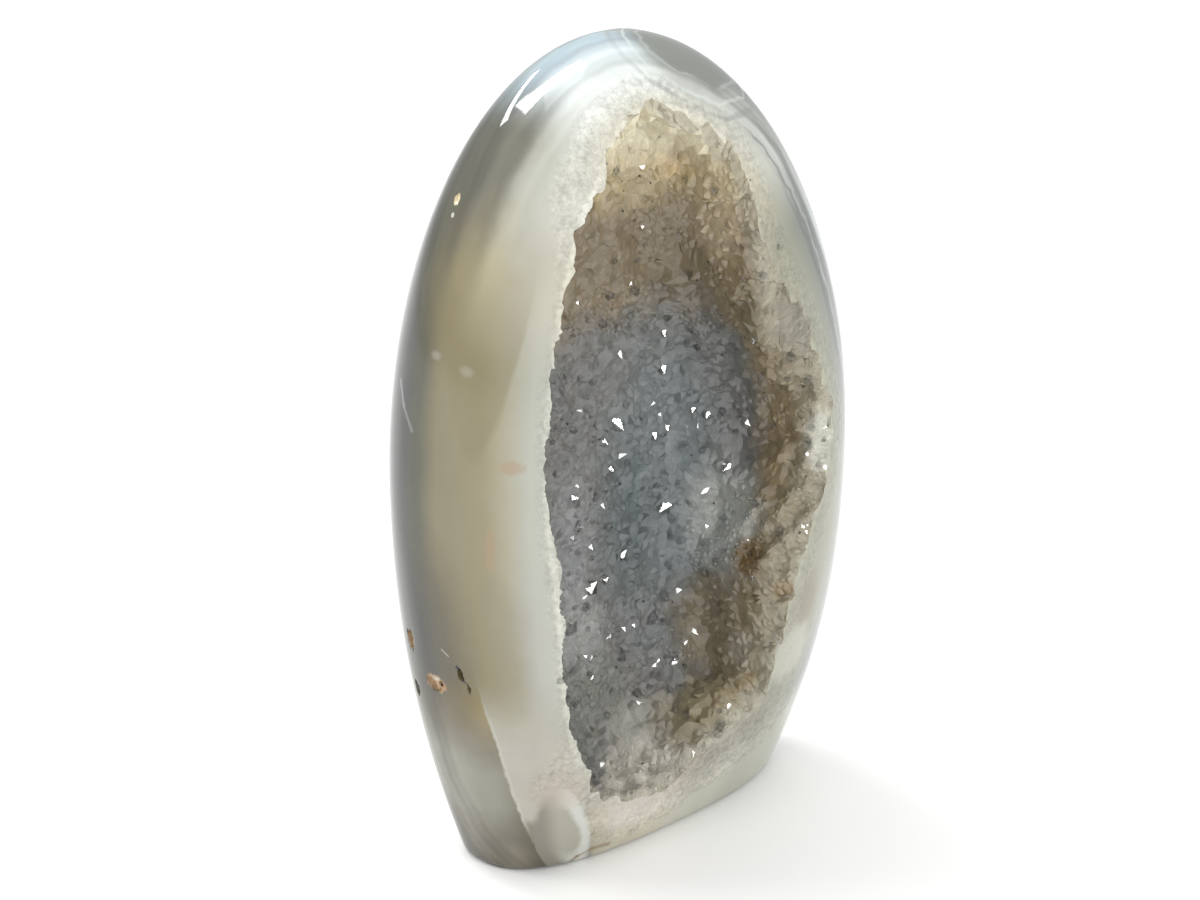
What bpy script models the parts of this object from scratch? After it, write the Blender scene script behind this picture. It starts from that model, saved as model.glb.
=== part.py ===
"""A druzy agate freeform: a standing, polished agate whose open hollow is lined with quartz crystals.

Metres, +Z up. The stone stands on its flat cut base at z = 0, and the hollow opens towards -Y.
"""

import math
import random

import bmesh
import bpy
import numpy as np
from mathutils import Vector, noise
from mathutils.geometry import delaunay_2d_cdt

# Outer form
HEIGHT = 0.130
HALF_WIDTH = 0.039
FRONT_DEPTH = 0.0265
BACK_DEPTH = 0.0245
WIDEST_LEVEL = 0.47  # share of the height where the stone is widest
BASE_WIDTH = 0.79  # each base size is a share of the widest one
BASE_FRONT = 0.52
BASE_BACK = 0.41
TAPER_POWER = 2.2  # how the sides draw in below the widest level
CROWN_POWER = 2.02  # how they close above it, where 2 is an ellipse
FRONT_SQUARENESS = 2.7  # of a level section, where 2 is an ellipse
BACK_SQUARENESS = 2.4
LEAN_X = (-0.0028, -0.0007)  # sideways drift of the middle, first and second power of the level
LEAN_Y = (-0.0025, 0.0010)
BASE_ROUND = 0.0012  # radius of the softened edge round the base
BODY_SEGMENTS = 44
BODY_RINGS = 28
EDGE_RINGS = 3  # of those rings, the ones that round the edge of the base

# Hollow, seen from the front
HOLLOW_X = -0.006
HOLLOW_Z = 0.066
HOLLOW_HALF_WIDTH = 0.0242
HOLLOW_HALF_HEIGHT = 0.0530
# Reach of the opening as a share of the ellipse, every 15 degrees, anticlockwise from +X
RIM_LOBES = (
    1.01, 0.88, 0.74, 0.75, 0.95, 0.98, 1.00, 1.00, 0.99, 1.00, 1.01, 1.02,
    1.01, 0.99, 1.02, 1.07, 1.08, 1.03, 0.99, 0.92, 0.93, 1.04, 0.82, 0.87,
)
# Reach of the pocket in the agate, which is how far the quartz goes
POCKET_LOBES = (
    1.37, 1.22, 1.15, 1.12, 1.09, 1.08, 1.08, 1.09, 1.11, 1.13, 1.15, 1.16,
    1.16, 1.16, 1.17, 1.20, 1.20, 1.17, 1.13, 1.16, 1.26, 1.38, 1.44, 1.42,
)
WALL_FOOT_Y = -0.012  # where the wall turns into the floor
FLOOR_Y = -0.0035
POCKET_FLOOR_Y = 0.0010
FRONT_Y = -0.032  # the cutters' walls end here, in front of the stone
CAP_Y = -0.040  # and the crystal cutter is capped here
FLOOR_SQUARENESS = 2.4  # of the bowl's section, where 2 is an ellipse
FLOOR_STEPS = 60  # steps in which the bowl's section is measured
WALL_FLARE = 3.5  # widening of the opening for each metre towards the front
WALL_STRETCH = 0.032  # length of wall for one e-fold of the layout plane
LUMP_HEIGHT = 0.0010  # soft swellings of the lining
LUMP_SIZE = 0.011
FIT_GAP = 0.0003  # between the lining and the agate

# Crystals
CRYSTAL_SPACING = 0.0025
CRYSTAL_HEIGHT = (0.0004, 0.0016)
CRYSTAL_TRIES = 30000
CRYSTAL_SEED = 7
EDGE_POINTS = 64  # layout points on the open edge
EDGE_MARGIN = 0.97  # crystals stay within this share of the layout
POCKET_SEGMENTS = 36
POCKET_FLOOR_RINGS = 7


def clear_scene():
    for obj in list(bpy.data.objects):
        bpy.data.objects.remove(obj, do_unlink=True)


def new_collection(name):
    collection = bpy.data.collections.new(name)
    bpy.context.scene.collection.children.link(collection)
    return collection


def new_material(name, colour, roughness):
    material = bpy.data.materials.new(name)
    material.use_nodes = True
    shader = material.node_tree.nodes["Principled BSDF"]
    shader.inputs["Base Color"].default_value = (*colour, 1.0)
    shader.inputs["Roughness"].default_value = roughness
    shader.inputs["Metallic"].default_value = 0.0
    material.diffuse_color = (*colour, 1.0)
    return material


def object_from(bm, name, collection):
    """Turns a finished bmesh into an object whose faces point outwards."""
    bmesh.ops.recalc_face_normals(bm, faces=bm.faces)
    mesh = bpy.data.meshes.new(name)
    bm.to_mesh(mesh)
    bm.free()
    obj = bpy.data.objects.new(name, mesh)
    collection.objects.link(obj)
    return obj


def add_boolean(obj, cutter, operation):
    modifier = obj.modifiers.new(f"{operation} {cutter.name}", "BOOLEAN")
    modifier.operation = operation
    modifier.object = cutter


def as_helper(obj):
    obj.hide_render = True
    obj.display_type = "WIRE"
    return obj


# Outer form


def level_share(level, base_share):
    """Size at a level from 0 at the base to 1 at the top, as a share of the size at the widest level."""
    if level >= WIDEST_LEVEL:
        rise = (level - WIDEST_LEVEL) / (1 - WIDEST_LEVEL)
        return math.sqrt(max(0.0, 1 - rise**CROWN_POWER))
    drop = (WIDEST_LEVEL - level) / WIDEST_LEVEL
    return 1 - (1 - base_share) * drop**TAPER_POWER


def signed_power(value, power):
    return math.copysign(abs(value) ** power, value)


def form_point(level, turn, inset):
    """A point of the polished surface, at a level and a turn about the upright axis."""
    front = math.sin(turn) < 0
    depth, base_share = (FRONT_DEPTH, BASE_FRONT) if front else (BACK_DEPTH, BASE_BACK)
    power = 2 / (FRONT_SQUARENESS if front else BACK_SQUARENESS)
    across = HALF_WIDTH * level_share(level, BASE_WIDTH) - inset
    along = depth * level_share(level, base_share) - inset
    rise = level - WIDEST_LEVEL
    x = across * signed_power(math.cos(turn), power) + LEAN_X[0] * rise + LEAN_X[1] * rise**2
    y = along * signed_power(math.sin(turn), power) + LEAN_Y[0] * rise + LEAN_Y[1] * rise**2
    return Vector((x, y, level * HEIGHT))


def form_rings():
    """(level, inset) of each ring, from the centre of the base to the top."""
    rings = [(0.0, 0.0)]
    for step in range(EDGE_RINGS):
        angle = math.radians(90) * (1 - step / (EDGE_RINGS - 1))
        level = BASE_ROUND * (1 - math.sin(angle)) / HEIGHT
        rings.append((level, BASE_ROUND * (1 - math.cos(angle))))
    start = rings[-1][0]
    for step in range(1, BODY_RINGS - EDGE_RINGS + 1):
        angle = math.radians(90) * step / (BODY_RINGS - EDGE_RINGS)
        rings.append((start + (1 - start) * math.sin(angle), 0.0))
    return rings


def add_form(name, collection):
    """The whole stone without its hollow: a sphere whose rings are laid on the level sections."""
    bm = bmesh.new()
    bmesh.ops.create_uvsphere(bm, u_segments=BODY_SEGMENTS, v_segments=BODY_RINGS, radius=1)
    rings = form_rings()
    for vert in bm.verts:
        latitude = math.asin(max(-1.0, min(1.0, vert.co.z)))
        index = round(BODY_RINGS * (0.5 + latitude / math.pi))
        level, inset = rings[index]
        centre = form_point(level, 0.0, inset).lerp(form_point(level, math.pi, inset), 0.5)
        if index in (0, BODY_RINGS):
            vert.co = centre
        else:
            vert.co = form_point(level, math.atan2(vert.co.y, vert.co.x), inset)
    return object_from(bm, name, collection)


# Hollow


def lobe_share(lobes, turn):
    """A smooth closed curve through evenly spaced shares."""
    place = (turn % math.tau) / math.tau * len(lobes)
    index = int(place)
    t = place - index
    a, b, c, d = (lobes[(index + step) % len(lobes)] for step in (-1, 0, 1, 2))
    return b + 0.5 * t * (c - a + t * (2 * a - 5 * b + 4 * c - d + t * (3 * (b - c) + d - a)))


def floor_table(floor_y):
    """Even steps along the bowl's section: (share of its length, polar angle)."""
    angles = np.linspace(0, math.pi / 2, FLOOR_STEPS)
    reach = (HOLLOW_HALF_WIDTH + HOLLOW_HALF_HEIGHT) / 2
    out = reach * np.sin(angles) ** (2 / FLOOR_SQUARENESS)
    down = (floor_y - WALL_FOOT_Y) * np.cos(angles) ** (2 / FLOOR_SQUARENESS)
    length = np.concatenate([[0], np.cumsum(np.hypot(np.diff(out), np.diff(down)))])
    return length / length[-1], angles


def hollow_point(u, v, lobes, floor_y, shrink, table):
    """Lays a point of the layout plane on the hollow: floor inside the unit circle, wall beyond it."""
    share = math.hypot(u, v)
    turn = math.atan2(v, u)
    reach = lobe_share(lobes, turn)
    if share <= 1:
        angle = float(np.interp(share, *table))
        out = math.sin(angle) ** (2 / FLOOR_SQUARENESS)
        y = WALL_FOOT_Y + (floor_y - WALL_FOOT_Y) * max(0.0, math.cos(angle)) ** (2 / FLOOR_SQUARENESS)
    else:
        y = max(FRONT_Y, WALL_FOOT_Y - WALL_STRETCH * math.log(share))
        out = 1 + WALL_FLARE * (WALL_FOOT_Y - y)
    x = HOLLOW_X + (HOLLOW_HALF_WIDTH * reach - shrink) * out * math.cos(turn)
    z = HOLLOW_Z + (HOLLOW_HALF_HEIGHT * reach - shrink) * out * math.sin(turn)
    return Vector((x, y - shrink, z))


def layout_edge():
    """Share of the layout plane where the wall reaches FRONT_Y."""
    return math.exp((WALL_FOOT_Y - FRONT_Y) / WALL_STRETCH)


def add_pocket(name, shrink, collection):
    """The smooth pocket in the agate as a solid, open end capped in front of the stone."""
    table = floor_table(POCKET_FLOOR_Y)
    shares = [step / POCKET_FLOOR_RINGS for step in range(POCKET_FLOOR_RINGS + 1)] + [layout_edge()]
    bm = bmesh.new()
    bmesh.ops.create_uvsphere(bm, u_segments=POCKET_SEGMENTS, v_segments=len(shares), radius=1)
    for vert in bm.verts:
        index = round(len(shares) * math.acos(max(-1.0, min(1.0, vert.co.z))) / math.pi)
        turn = math.atan2(vert.co.y, vert.co.x)
        if index == len(shares):
            vert.co = Vector((HOLLOW_X, FRONT_Y - shrink, HOLLOW_Z))
        else:
            u, v = shares[index] * math.cos(turn), shares[index] * math.sin(turn)
            vert.co = hollow_point(u, v, POCKET_LOBES, POCKET_FLOOR_Y, shrink, table)
    return as_helper(object_from(bm, name, collection))


def crystal_layout(table):
    """Layout points and their places on the hollow, no two crystals nearer than CRYSTAL_SPACING."""
    rng = random.Random(CRYSTAL_SEED)
    edge = layout_edge()
    plan = []
    for step in range(EDGE_POINTS):
        turn = math.tau * step / EDGE_POINTS
        plan.append((edge * math.cos(turn), edge * math.sin(turn)))
    places = [hollow_point(u, v, RIM_LOBES, FLOOR_Y, 0.0, table) for u, v in plan]
    kept = np.array([tuple(place) for place in places])
    for _ in range(CRYSTAL_TRIES):
        u, v = rng.uniform(-edge, edge), rng.uniform(-edge, edge)
        if math.hypot(u, v) > EDGE_MARGIN * edge:
            continue
        place = hollow_point(u, v, RIM_LOBES, FLOOR_Y, 0.0, table)
        if ((kept - np.array(place)) ** 2).sum(axis=1).min() < CRYSTAL_SPACING**2:
            continue
        plan.append((u, v))
        kept = np.vstack([kept, tuple(place)])
    return plan, [Vector(place) for place in kept]


def add_crystal_cutter(name, collection):
    """The hollow's open space as a solid. Every layout point is the tip of a pyramid that dents it."""
    table = floor_table(FLOOR_Y)
    plan, places = crystal_layout(table)
    flat = [Vector((u * HOLLOW_HALF_WIDTH, v * HOLLOW_HALF_HEIGHT)) for u, v in plan]
    _, _, triangles, _, _, _ = delaunay_2d_cdt(flat, [], [], 0, 1e-9)
    bm = bmesh.new()
    verts = [bm.verts.new(place) for place in places]
    for triangle in triangles:
        bm.faces.new([verts[index] for index in triangle])
    bmesh.ops.recalc_face_normals(bm, faces=bm.faces)
    bm.normal_update()
    middle = Vector((HOLLOW_X, FRONT_Y, HOLLOW_Z))
    tips = [vert for vert in bm.verts if not vert.is_boundary]
    inwards = {vert: vert.normal * (1 if vert.normal.dot(middle - vert.co) > 0 else -1) for vert in tips}
    rng = random.Random(CRYSTAL_SEED + 1)
    # Each face gets a middle point, and each old edge is turned to join two of them, so that a ring of
    # four to eight flat faces meets at every old point.
    old_edges = [edge for edge in bm.edges if not edge.is_boundary]
    bmesh.ops.poke(bm, faces=list(bm.faces))
    bmesh.ops.rotate_edges(bm, edges=old_edges, use_ccw=False)
    for vert in bm.verts:
        lump = noise.noise(vert.co / LUMP_SIZE) * LUMP_HEIGHT
        vert.co += (middle - vert.co).normalized() * lump
    for vert in tips:
        vert.co += inwards[vert] * rng.uniform(*CRYSTAL_HEIGHT)
    rim = [edge for edge in bm.edges if edge.is_boundary]
    out = bmesh.ops.extrude_edge_only(bm, edges=rim)["geom"]
    for vert in out:
        if isinstance(vert, bmesh.types.BMVert):
            vert.co.y = CAP_Y
    bmesh.ops.holes_fill(bm, edges=[edge for edge in bm.edges if edge.is_boundary])
    bmesh.ops.triangulate(bm, faces=bm.faces)
    return as_helper(object_from(bm, name, collection))


def main():
    clear_scene()
    stone = new_collection("druzy_agate_freeform")
    cutters = new_collection("cutters")
    pocket = add_pocket("pocket", 0.0, cutters)
    lining = add_pocket("lining_limit", FIT_GAP, cutters)
    hollow = add_crystal_cutter("crystal_hollow", cutters)

    body = add_form("agate_body", stone)
    add_boolean(body, pocket, "DIFFERENCE")
    body.data.materials.append(new_material("polished agate", (0.56, 0.54, 0.48), 0.08))

    crust = add_form("druzy_crust", stone)
    add_boolean(crust, lining, "INTERSECT")
    add_boolean(crust, hollow, "DIFFERENCE")
    crust.data.materials.append(new_material("quartz druse", (0.62, 0.61, 0.60), 0.15))


main()
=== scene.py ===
"""The looks of a druzy agate freeform: a standing, polished agate whose open hollow is lined with quartz.

Metres, +Z up. The hollow opens towards -Y and the stone stands on its flat cut base at z = 0.
"""

import logging
import math
import random
from dataclasses import dataclass, field
from typing import Any, Iterable, Sequence

import bmesh
import bpy
import numpy as np
from mathutils import Matrix, Vector, noise
from mathutils.bvhtree import BVHTree
from mathutils.geometry import delaunay_2d_cdt
from mathutils.kdtree import KDTree

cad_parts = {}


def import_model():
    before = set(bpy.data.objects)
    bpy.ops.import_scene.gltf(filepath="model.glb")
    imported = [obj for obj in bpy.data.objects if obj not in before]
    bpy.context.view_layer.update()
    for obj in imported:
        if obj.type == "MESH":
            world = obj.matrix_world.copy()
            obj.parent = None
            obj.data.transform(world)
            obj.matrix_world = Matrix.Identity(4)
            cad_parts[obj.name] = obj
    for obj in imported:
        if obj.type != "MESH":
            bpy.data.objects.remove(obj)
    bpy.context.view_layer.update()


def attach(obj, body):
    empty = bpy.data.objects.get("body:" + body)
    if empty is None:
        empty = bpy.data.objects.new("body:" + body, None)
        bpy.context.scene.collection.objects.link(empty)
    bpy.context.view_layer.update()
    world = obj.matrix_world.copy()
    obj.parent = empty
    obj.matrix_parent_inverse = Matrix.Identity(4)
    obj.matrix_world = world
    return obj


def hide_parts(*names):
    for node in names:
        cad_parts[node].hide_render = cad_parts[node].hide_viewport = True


Colour = tuple[float, float, float]
Place = tuple[float, float, float]
Stops = tuple[tuple[float, Colour], ...]

LOG = logging.getLogger("druzy_agate")
MM = 0.001


# Forms


def signed_power(value: np.ndarray, power: np.ndarray) -> np.ndarray:
    """Raises the size of a number to a power and keeps its sign."""
    return np.sign(value) * np.abs(value) ** power


@dataclass(frozen=True)
class StoneForm:
    """The polished outside: level sections that are superellipses, drawn in to a flat cut base."""

    height: float = 0.130
    half_width: float = 0.039
    front_depth: float = 0.0265
    back_depth: float = 0.0245
    widest_level: float = 0.47
    base_width: float = 0.79
    base_front: float = 0.52
    base_back: float = 0.41
    taper_power: float = 2.2
    crown_power: float = 2.02
    front_squareness: float = 2.7
    back_squareness: float = 2.4
    lean_x: tuple[float, float] = (-0.0028, -0.0007)
    lean_y: tuple[float, float] = (-0.0025, 0.0010)
    base_round: float = 0.0012

    def level_share(self, level: np.ndarray, base_share: np.ndarray | float) -> np.ndarray:
        """Gives the size at a level as a share of the size at the widest one.

        Args:
            level: heights from 0 at the base to 1 at the top.
            base_share: the share that is left at the base.

        Returns:
            The shares, one for each level.
        """
        rise = np.clip((level - self.widest_level) / (1 - self.widest_level), 0, 1)
        drop = np.clip((self.widest_level - level) / self.widest_level, 0, 1)
        crown = np.sqrt(np.clip(1 - rise**self.crown_power, 0, 1))
        return np.where(level >= self.widest_level, crown, 1 - (1 - base_share) * drop**self.taper_power)

    def section(self, level: np.ndarray, front: np.ndarray) -> tuple[np.ndarray, ...]:
        """Gives each level's half width, depth, exponent and middle.

        Args:
            level: heights from 0 to 1.
            front: whether the front half of the section is wanted.

        Returns:
            Half widths, depths, exponents, and the middles' x and y.
        """
        share = np.where(front, self.base_front, self.base_back)
        depth = np.where(front, self.front_depth, self.back_depth) * self.level_share(level, share)
        across = self.half_width * self.level_share(level, self.base_width)
        power = np.where(front, self.front_squareness, self.back_squareness)
        rise = level - self.widest_level
        middle_x = self.lean_x[0] * rise + self.lean_x[1] * rise**2
        middle_y = self.lean_y[0] * rise + self.lean_y[1] * rise**2
        return across, depth, power, middle_x, middle_y

    def points(self, level: np.ndarray, turn: np.ndarray, inset: np.ndarray) -> np.ndarray:
        """Gives points of the polished surface.

        Args:
            level: heights from 0 to 1.
            turn: angles about the upright axis.
            inset: how far each point is drawn in, for the softened edge of the base.

        Returns:
            One row of x, y, z for each point.
        """
        across, depth, power, middle_x, middle_y = self.section(level, np.sin(turn) < 0)
        x = (across - inset) * signed_power(np.cos(turn), 2 / power) + middle_x
        y = (depth - inset) * signed_power(np.sin(turn), 2 / power) + middle_y
        return np.stack([x, y, level * self.height], axis=-1)

    def front_y(self, x: np.ndarray, z: np.ndarray) -> np.ndarray:
        """Gives the y of the front surface above a point of the XZ plane, or of its edge beyond the outline."""
        level = np.clip(z / self.height, 0, 1)
        across, depth, power, middle_x, middle_y = self.section(level, np.ones_like(level, dtype=bool))
        share = np.clip(np.abs(x - middle_x) / np.maximum(across, 1e-6), 0, 1)
        return middle_y - depth * (1 - share**power) ** (1 / power)

    def depth_inside(self, places: np.ndarray) -> np.ndarray:
        """Gives a rough depth under the polished surface in metres, negative outside."""
        x, y, z = places.T
        level = np.clip(z / self.height, 0, 1)
        across, depth, power, middle_x, middle_y = self.section(level, y < 0)
        across, depth = np.maximum(across, 1e-5), np.maximum(depth, 1e-5)
        share = (np.abs((x - middle_x) / across) ** power + np.abs((y - middle_y) / depth) ** power) ** (1 / power)
        return (1 - share) * np.minimum(across, depth)

    def settle(self, places: np.ndarray) -> np.ndarray:
        """Moves points level, towards or from the upright middle, until they lie on the polished surface."""
        x, y, z = places.T
        level = np.clip(z / self.height, 0, 1)
        across, depth, power, middle_x, middle_y = self.section(level, y < 0)
        x, y = x - middle_x, y - middle_y
        share = (np.abs(x / across) ** power + np.abs(y / depth) ** power) ** (1 / power)
        return np.stack([x / share + middle_x, y / share + middle_y, z], axis=-1)

    def rings(self, count: int, edge: int) -> tuple[np.ndarray, np.ndarray]:
        """Gives the level and inset of each ring, from the middle of the base to the top.

        Args:
            count: rings up the whole stone.
            edge: how many of them round the edge of the base.

        Returns:
            Levels and insets.
        """
        angle = np.radians(90) * (1 - np.arange(edge) / (edge - 1))
        low = self.base_round * (1 - np.sin(angle)) / self.height
        inset = self.base_round * (1 - np.cos(angle))
        rise = np.sin(np.radians(90) * np.arange(1, count - edge + 1) / (count - edge))
        level = np.concatenate([[0.0], low, low[-1] + (1 - low[-1]) * rise])
        return level, np.concatenate([[0.0], inset, np.zeros(count - edge)])


@dataclass(frozen=True)
class HollowForm:
    """A bowl with a lobed outline, which opens to the front. The unit circle of its layout plane is the wall's foot."""

    lobes: tuple[float, ...]
    floor_y: float
    shoulders: tuple[float, ...] = ()
    stone: StoneForm = field(default_factory=StoneForm)
    middle_x: float = -0.006
    middle_z: float = 0.066
    half_width: float = 0.0242
    half_height: float = 0.0530
    foot_y: float = -0.012
    front_y: float = -0.034
    squareness: float = 2.4
    flare: float = 3.5
    stretch: float = 0.032
    shoulder_depth: float = 0.0055

    @property
    def edge(self) -> float:
        """Share of the layout plane where the wall reaches the front."""
        return math.exp((self.foot_y - self.front_y) / self.stretch)

    @staticmethod
    def around(values: Sequence[float], turn: np.ndarray) -> np.ndarray:
        """Reads a smooth closed curve through evenly spaced values.

        Args:
            values: the values, anticlockwise from +X.
            turn: the angles to read.

        Returns:
            One value for each angle.
        """
        place = np.mod(turn, math.tau) / math.tau * len(values)
        index = place.astype(int)
        t = place - index
        table = np.array(values)
        a, b, c, d = (table[(index + step) % len(values)] for step in (-1, 0, 1, 2))
        return b + 0.5 * t * (c - a + t * (2 * a - 5 * b + 4 * c - d + t * (3 * (b - c) + d - a)))

    def places(self, u: np.ndarray, v: np.ndarray, shrink: float = 0.0) -> np.ndarray:
        """Lays points of the layout plane on the bowl.

        Args:
            u: across.
            v: up.
            shrink: how far the bowl is drawn in.

        Returns:
            One row of x, y, z for each point.
        """
        share, turn = np.hypot(u, v), np.arctan2(v, u)
        power = 2 / self.squareness
        angles = np.linspace(0, math.pi / 2, 90)
        out = (self.half_width + self.half_height) / 2 * np.sin(angles) ** power
        down = (self.floor_y - self.foot_y) * np.cos(angles) ** power
        length = np.concatenate([[0], np.cumsum(np.hypot(np.diff(out), np.diff(down)))])
        angle = np.interp(share, length / length[-1], angles)
        on_floor = share <= 1
        wall_y = np.maximum(self.front_y, self.foot_y - self.stretch * np.log(np.maximum(share, 1)))
        fall = (self.floor_y - self.foot_y) * np.clip(np.cos(angle), 0, 1) ** power
        y = np.where(on_floor, self.foot_y + fall, wall_y)
        wide = np.where(on_floor, np.sin(angle) ** power, 1 + self.flare * (self.foot_y - wall_y))
        reach = self.around(self.lobes, turn)
        x = self.middle_x + (self.half_width * reach - shrink) * wide * np.cos(turn)
        z = self.middle_z + (self.half_height * reach - shrink) * wide * np.sin(turn)
        if self.shoulders:
            surface = self.stone.front_y(x, z)
            t = np.clip((surface + self.shoulder_depth - y) / self.shoulder_depth, 0, 1.6)
            extra = self.around(self.shoulders, turn) * MM * t**1.6
            direction = np.stack([self.half_width * np.cos(turn), self.half_height * np.sin(turn)])
            direction /= np.linalg.norm(direction, axis=0)
            x, z = x + extra * direction[0], z + extra * direction[1]
        return np.stack([x, y - shrink, z], axis=-1)

    def opening(self, count: int) -> np.ndarray:
        """Gives points along the edge where the bowl meets the polished front.

        Args:
            count: how many points.

        Returns:
            One row of x, y, z for each point.
        """
        shares = np.linspace(1, self.edge, 80)
        edge = []
        for turn in np.linspace(0, math.tau, count, endpoint=False):
            wall = self.places(shares * math.cos(turn), shares * math.sin(turn))
            inside = wall[:, 1] > self.stone.front_y(wall[:, 0], wall[:, 2])
            edge.append(wall[np.flatnonzero(inside)[-1]])
        return np.array(edge)


STONE = StoneForm()
RIM_LOBES = (
    1.01, 0.88, 0.74, 0.75, 0.95, 0.98, 1.00, 1.00, 0.99, 1.00, 1.01, 1.02,
    1.01, 0.99, 1.02, 1.07, 1.08, 1.03, 0.99, 0.92, 0.93, 1.04, 0.82, 0.87,
)
POCKET_LOBES = (
    1.37, 1.22, 1.15, 1.12, 1.09, 1.08, 1.08, 1.09, 1.11, 1.13, 1.15, 1.16,
    1.16, 1.16, 1.17, 1.20, 1.20, 1.17, 1.13, 1.16, 1.26, 1.38, 1.44, 1.42,
)
# Millimetres by which broken quartz slopes back from the hollow's wall to the polished front
SHOULDERS = (
    6.0, 6.0, 8.0, 7.5, 6.0, 5.0, 4.0, 2.2, 0.8, 0.2, 0.0, 0.0,
    0.0, 0.0, 0.0, 0.0, 0.3, 1.0, 2.2, 3.4, 4.5, 4.0, 6.0, 5.5,
)
HOLLOW = HollowForm(lobes=RIM_LOBES, floor_y=-0.0035, shoulders=SHOULDERS)
POCKET = HollowForm(lobes=POCKET_LOBES, floor_y=0.0010)


# Modelling


def select_only(obj: bpy.types.Object) -> None:
    """Deselects everything and selects one object."""
    bpy.ops.object.select_all(action="DESELECT")
    obj.select_set(True)
    bpy.context.view_layer.objects.active = obj


def read_vertices(mesh: bpy.types.Mesh) -> np.ndarray:
    """Reads a mesh's vertices as rows of x, y, z."""
    values = np.empty(len(mesh.vertices) * 3, np.float32)
    mesh.vertices.foreach_get("co", values)
    return values.reshape(-1, 3).astype(float)


def write_vertices(mesh: bpy.types.Mesh, places: np.ndarray) -> None:
    """Writes a mesh's vertices."""
    mesh.vertices.foreach_set("co", places.astype(np.float32).ravel())
    mesh.update()


def apply_boolean(obj: bpy.types.Object, other: bpy.types.Object, operation: str) -> None:
    """Cuts or trims one object by another and applies the result."""
    select_only(obj)
    modifier = obj.modifiers.new(operation.title(), "BOOLEAN")
    modifier.operation = operation
    modifier.object = other
    modifier.material_mode = "TRANSFER"
    bpy.ops.object.modifier_apply(modifier=modifier.name)


def remove(obj: bpy.types.Object) -> None:
    """Removes a helper and its mesh."""
    mesh = obj.data
    bpy.data.objects.remove(obj)
    bpy.data.meshes.remove(mesh)


def add_sphere(name: str, segments: int, rings: int) -> bpy.types.Object:
    """Adds a unit sphere, named."""
    bpy.ops.object.select_all(action="DESELECT")
    bpy.ops.mesh.primitive_uv_sphere_add(segments=segments, ring_count=rings, radius=1)
    obj = bpy.context.object
    obj.name = name
    obj.data.name = name
    return obj


def add_stone(name: str, segments: int, rings: int) -> bpy.types.Object:
    """Adds the whole polished form: a sphere whose rings are laid on the level sections.

    Args:
        name: the object's name.
        segments: points round each ring.
        rings: rings from the base to the top.

    Returns:
        The object.
    """
    obj = add_sphere(name, segments, rings)
    co = read_vertices(obj.data)
    index = np.round(rings * (0.5 + np.arcsin(np.clip(co[:, 2], -1, 1)) / math.pi)).astype(int)
    level, inset = STONE.rings(rings, 6)
    turn = np.arctan2(co[:, 1], co[:, 0])
    places = STONE.points(level[index], turn, inset[index])
    for pole in (0, rings):
        level_there = np.array([level[pole]])
        ends = [STONE.points(level_there, np.array([t]), np.array([0.0]))[0] for t in (0.0, math.pi)]
        places[index == pole] = (ends[0] + ends[1]) / 2
    write_vertices(obj.data, places)
    return obj


def add_pocket(name: str) -> bpy.types.Object:
    """Adds the smooth pocket as a solid whose open end is capped in front of the stone.

    Args:
        name: the object's name.

    Returns:
        The object.
    """
    shares = [step / 16 for step in range(17)] + [1 + (POCKET.edge - 1) * step / 6 for step in range(1, 7)]
    obj = add_sphere(name, 128, len(shares))
    co = read_vertices(obj.data)
    index = np.round(len(shares) * np.arccos(np.clip(co[:, 2], -1, 1)) / math.pi).astype(int)
    turn = np.arctan2(co[:, 1], co[:, 0])
    share = np.array(shares + [0.0])[index]
    places = POCKET.places(share * np.cos(turn), share * np.sin(turn))
    places[index == len(shares)] = (POCKET.middle_x, POCKET.front_y, POCKET.middle_z)
    write_vertices(obj.data, places)
    select_only(obj)
    bpy.ops.object.mode_set(mode="EDIT")
    bpy.ops.mesh.select_all(action="SELECT")
    bpy.ops.mesh.normals_make_consistent(inside=False)
    bpy.ops.object.mode_set(mode="OBJECT")
    return obj


def spread(places: np.ndarray, spacing: np.ndarray) -> list[int]:
    """Keeps places in their order, each unless a kept one claims the room.

    Args:
        places: the candidates.
        spacing: the room that each claims round itself if it is kept.

    Returns:
        The indices of the kept ones.
    """
    tree = KDTree(len(places))
    for index, place in enumerate(places):
        tree.insert(place, index)
    tree.balance()
    blocked = bytearray(len(places))
    kept = []
    for index, place in enumerate(places):
        if not blocked[index]:
            kept.append(index)
            for _, other, _ in tree.find_range(place, spacing[index]):
                blocked[other] = 1
    return kept


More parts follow.
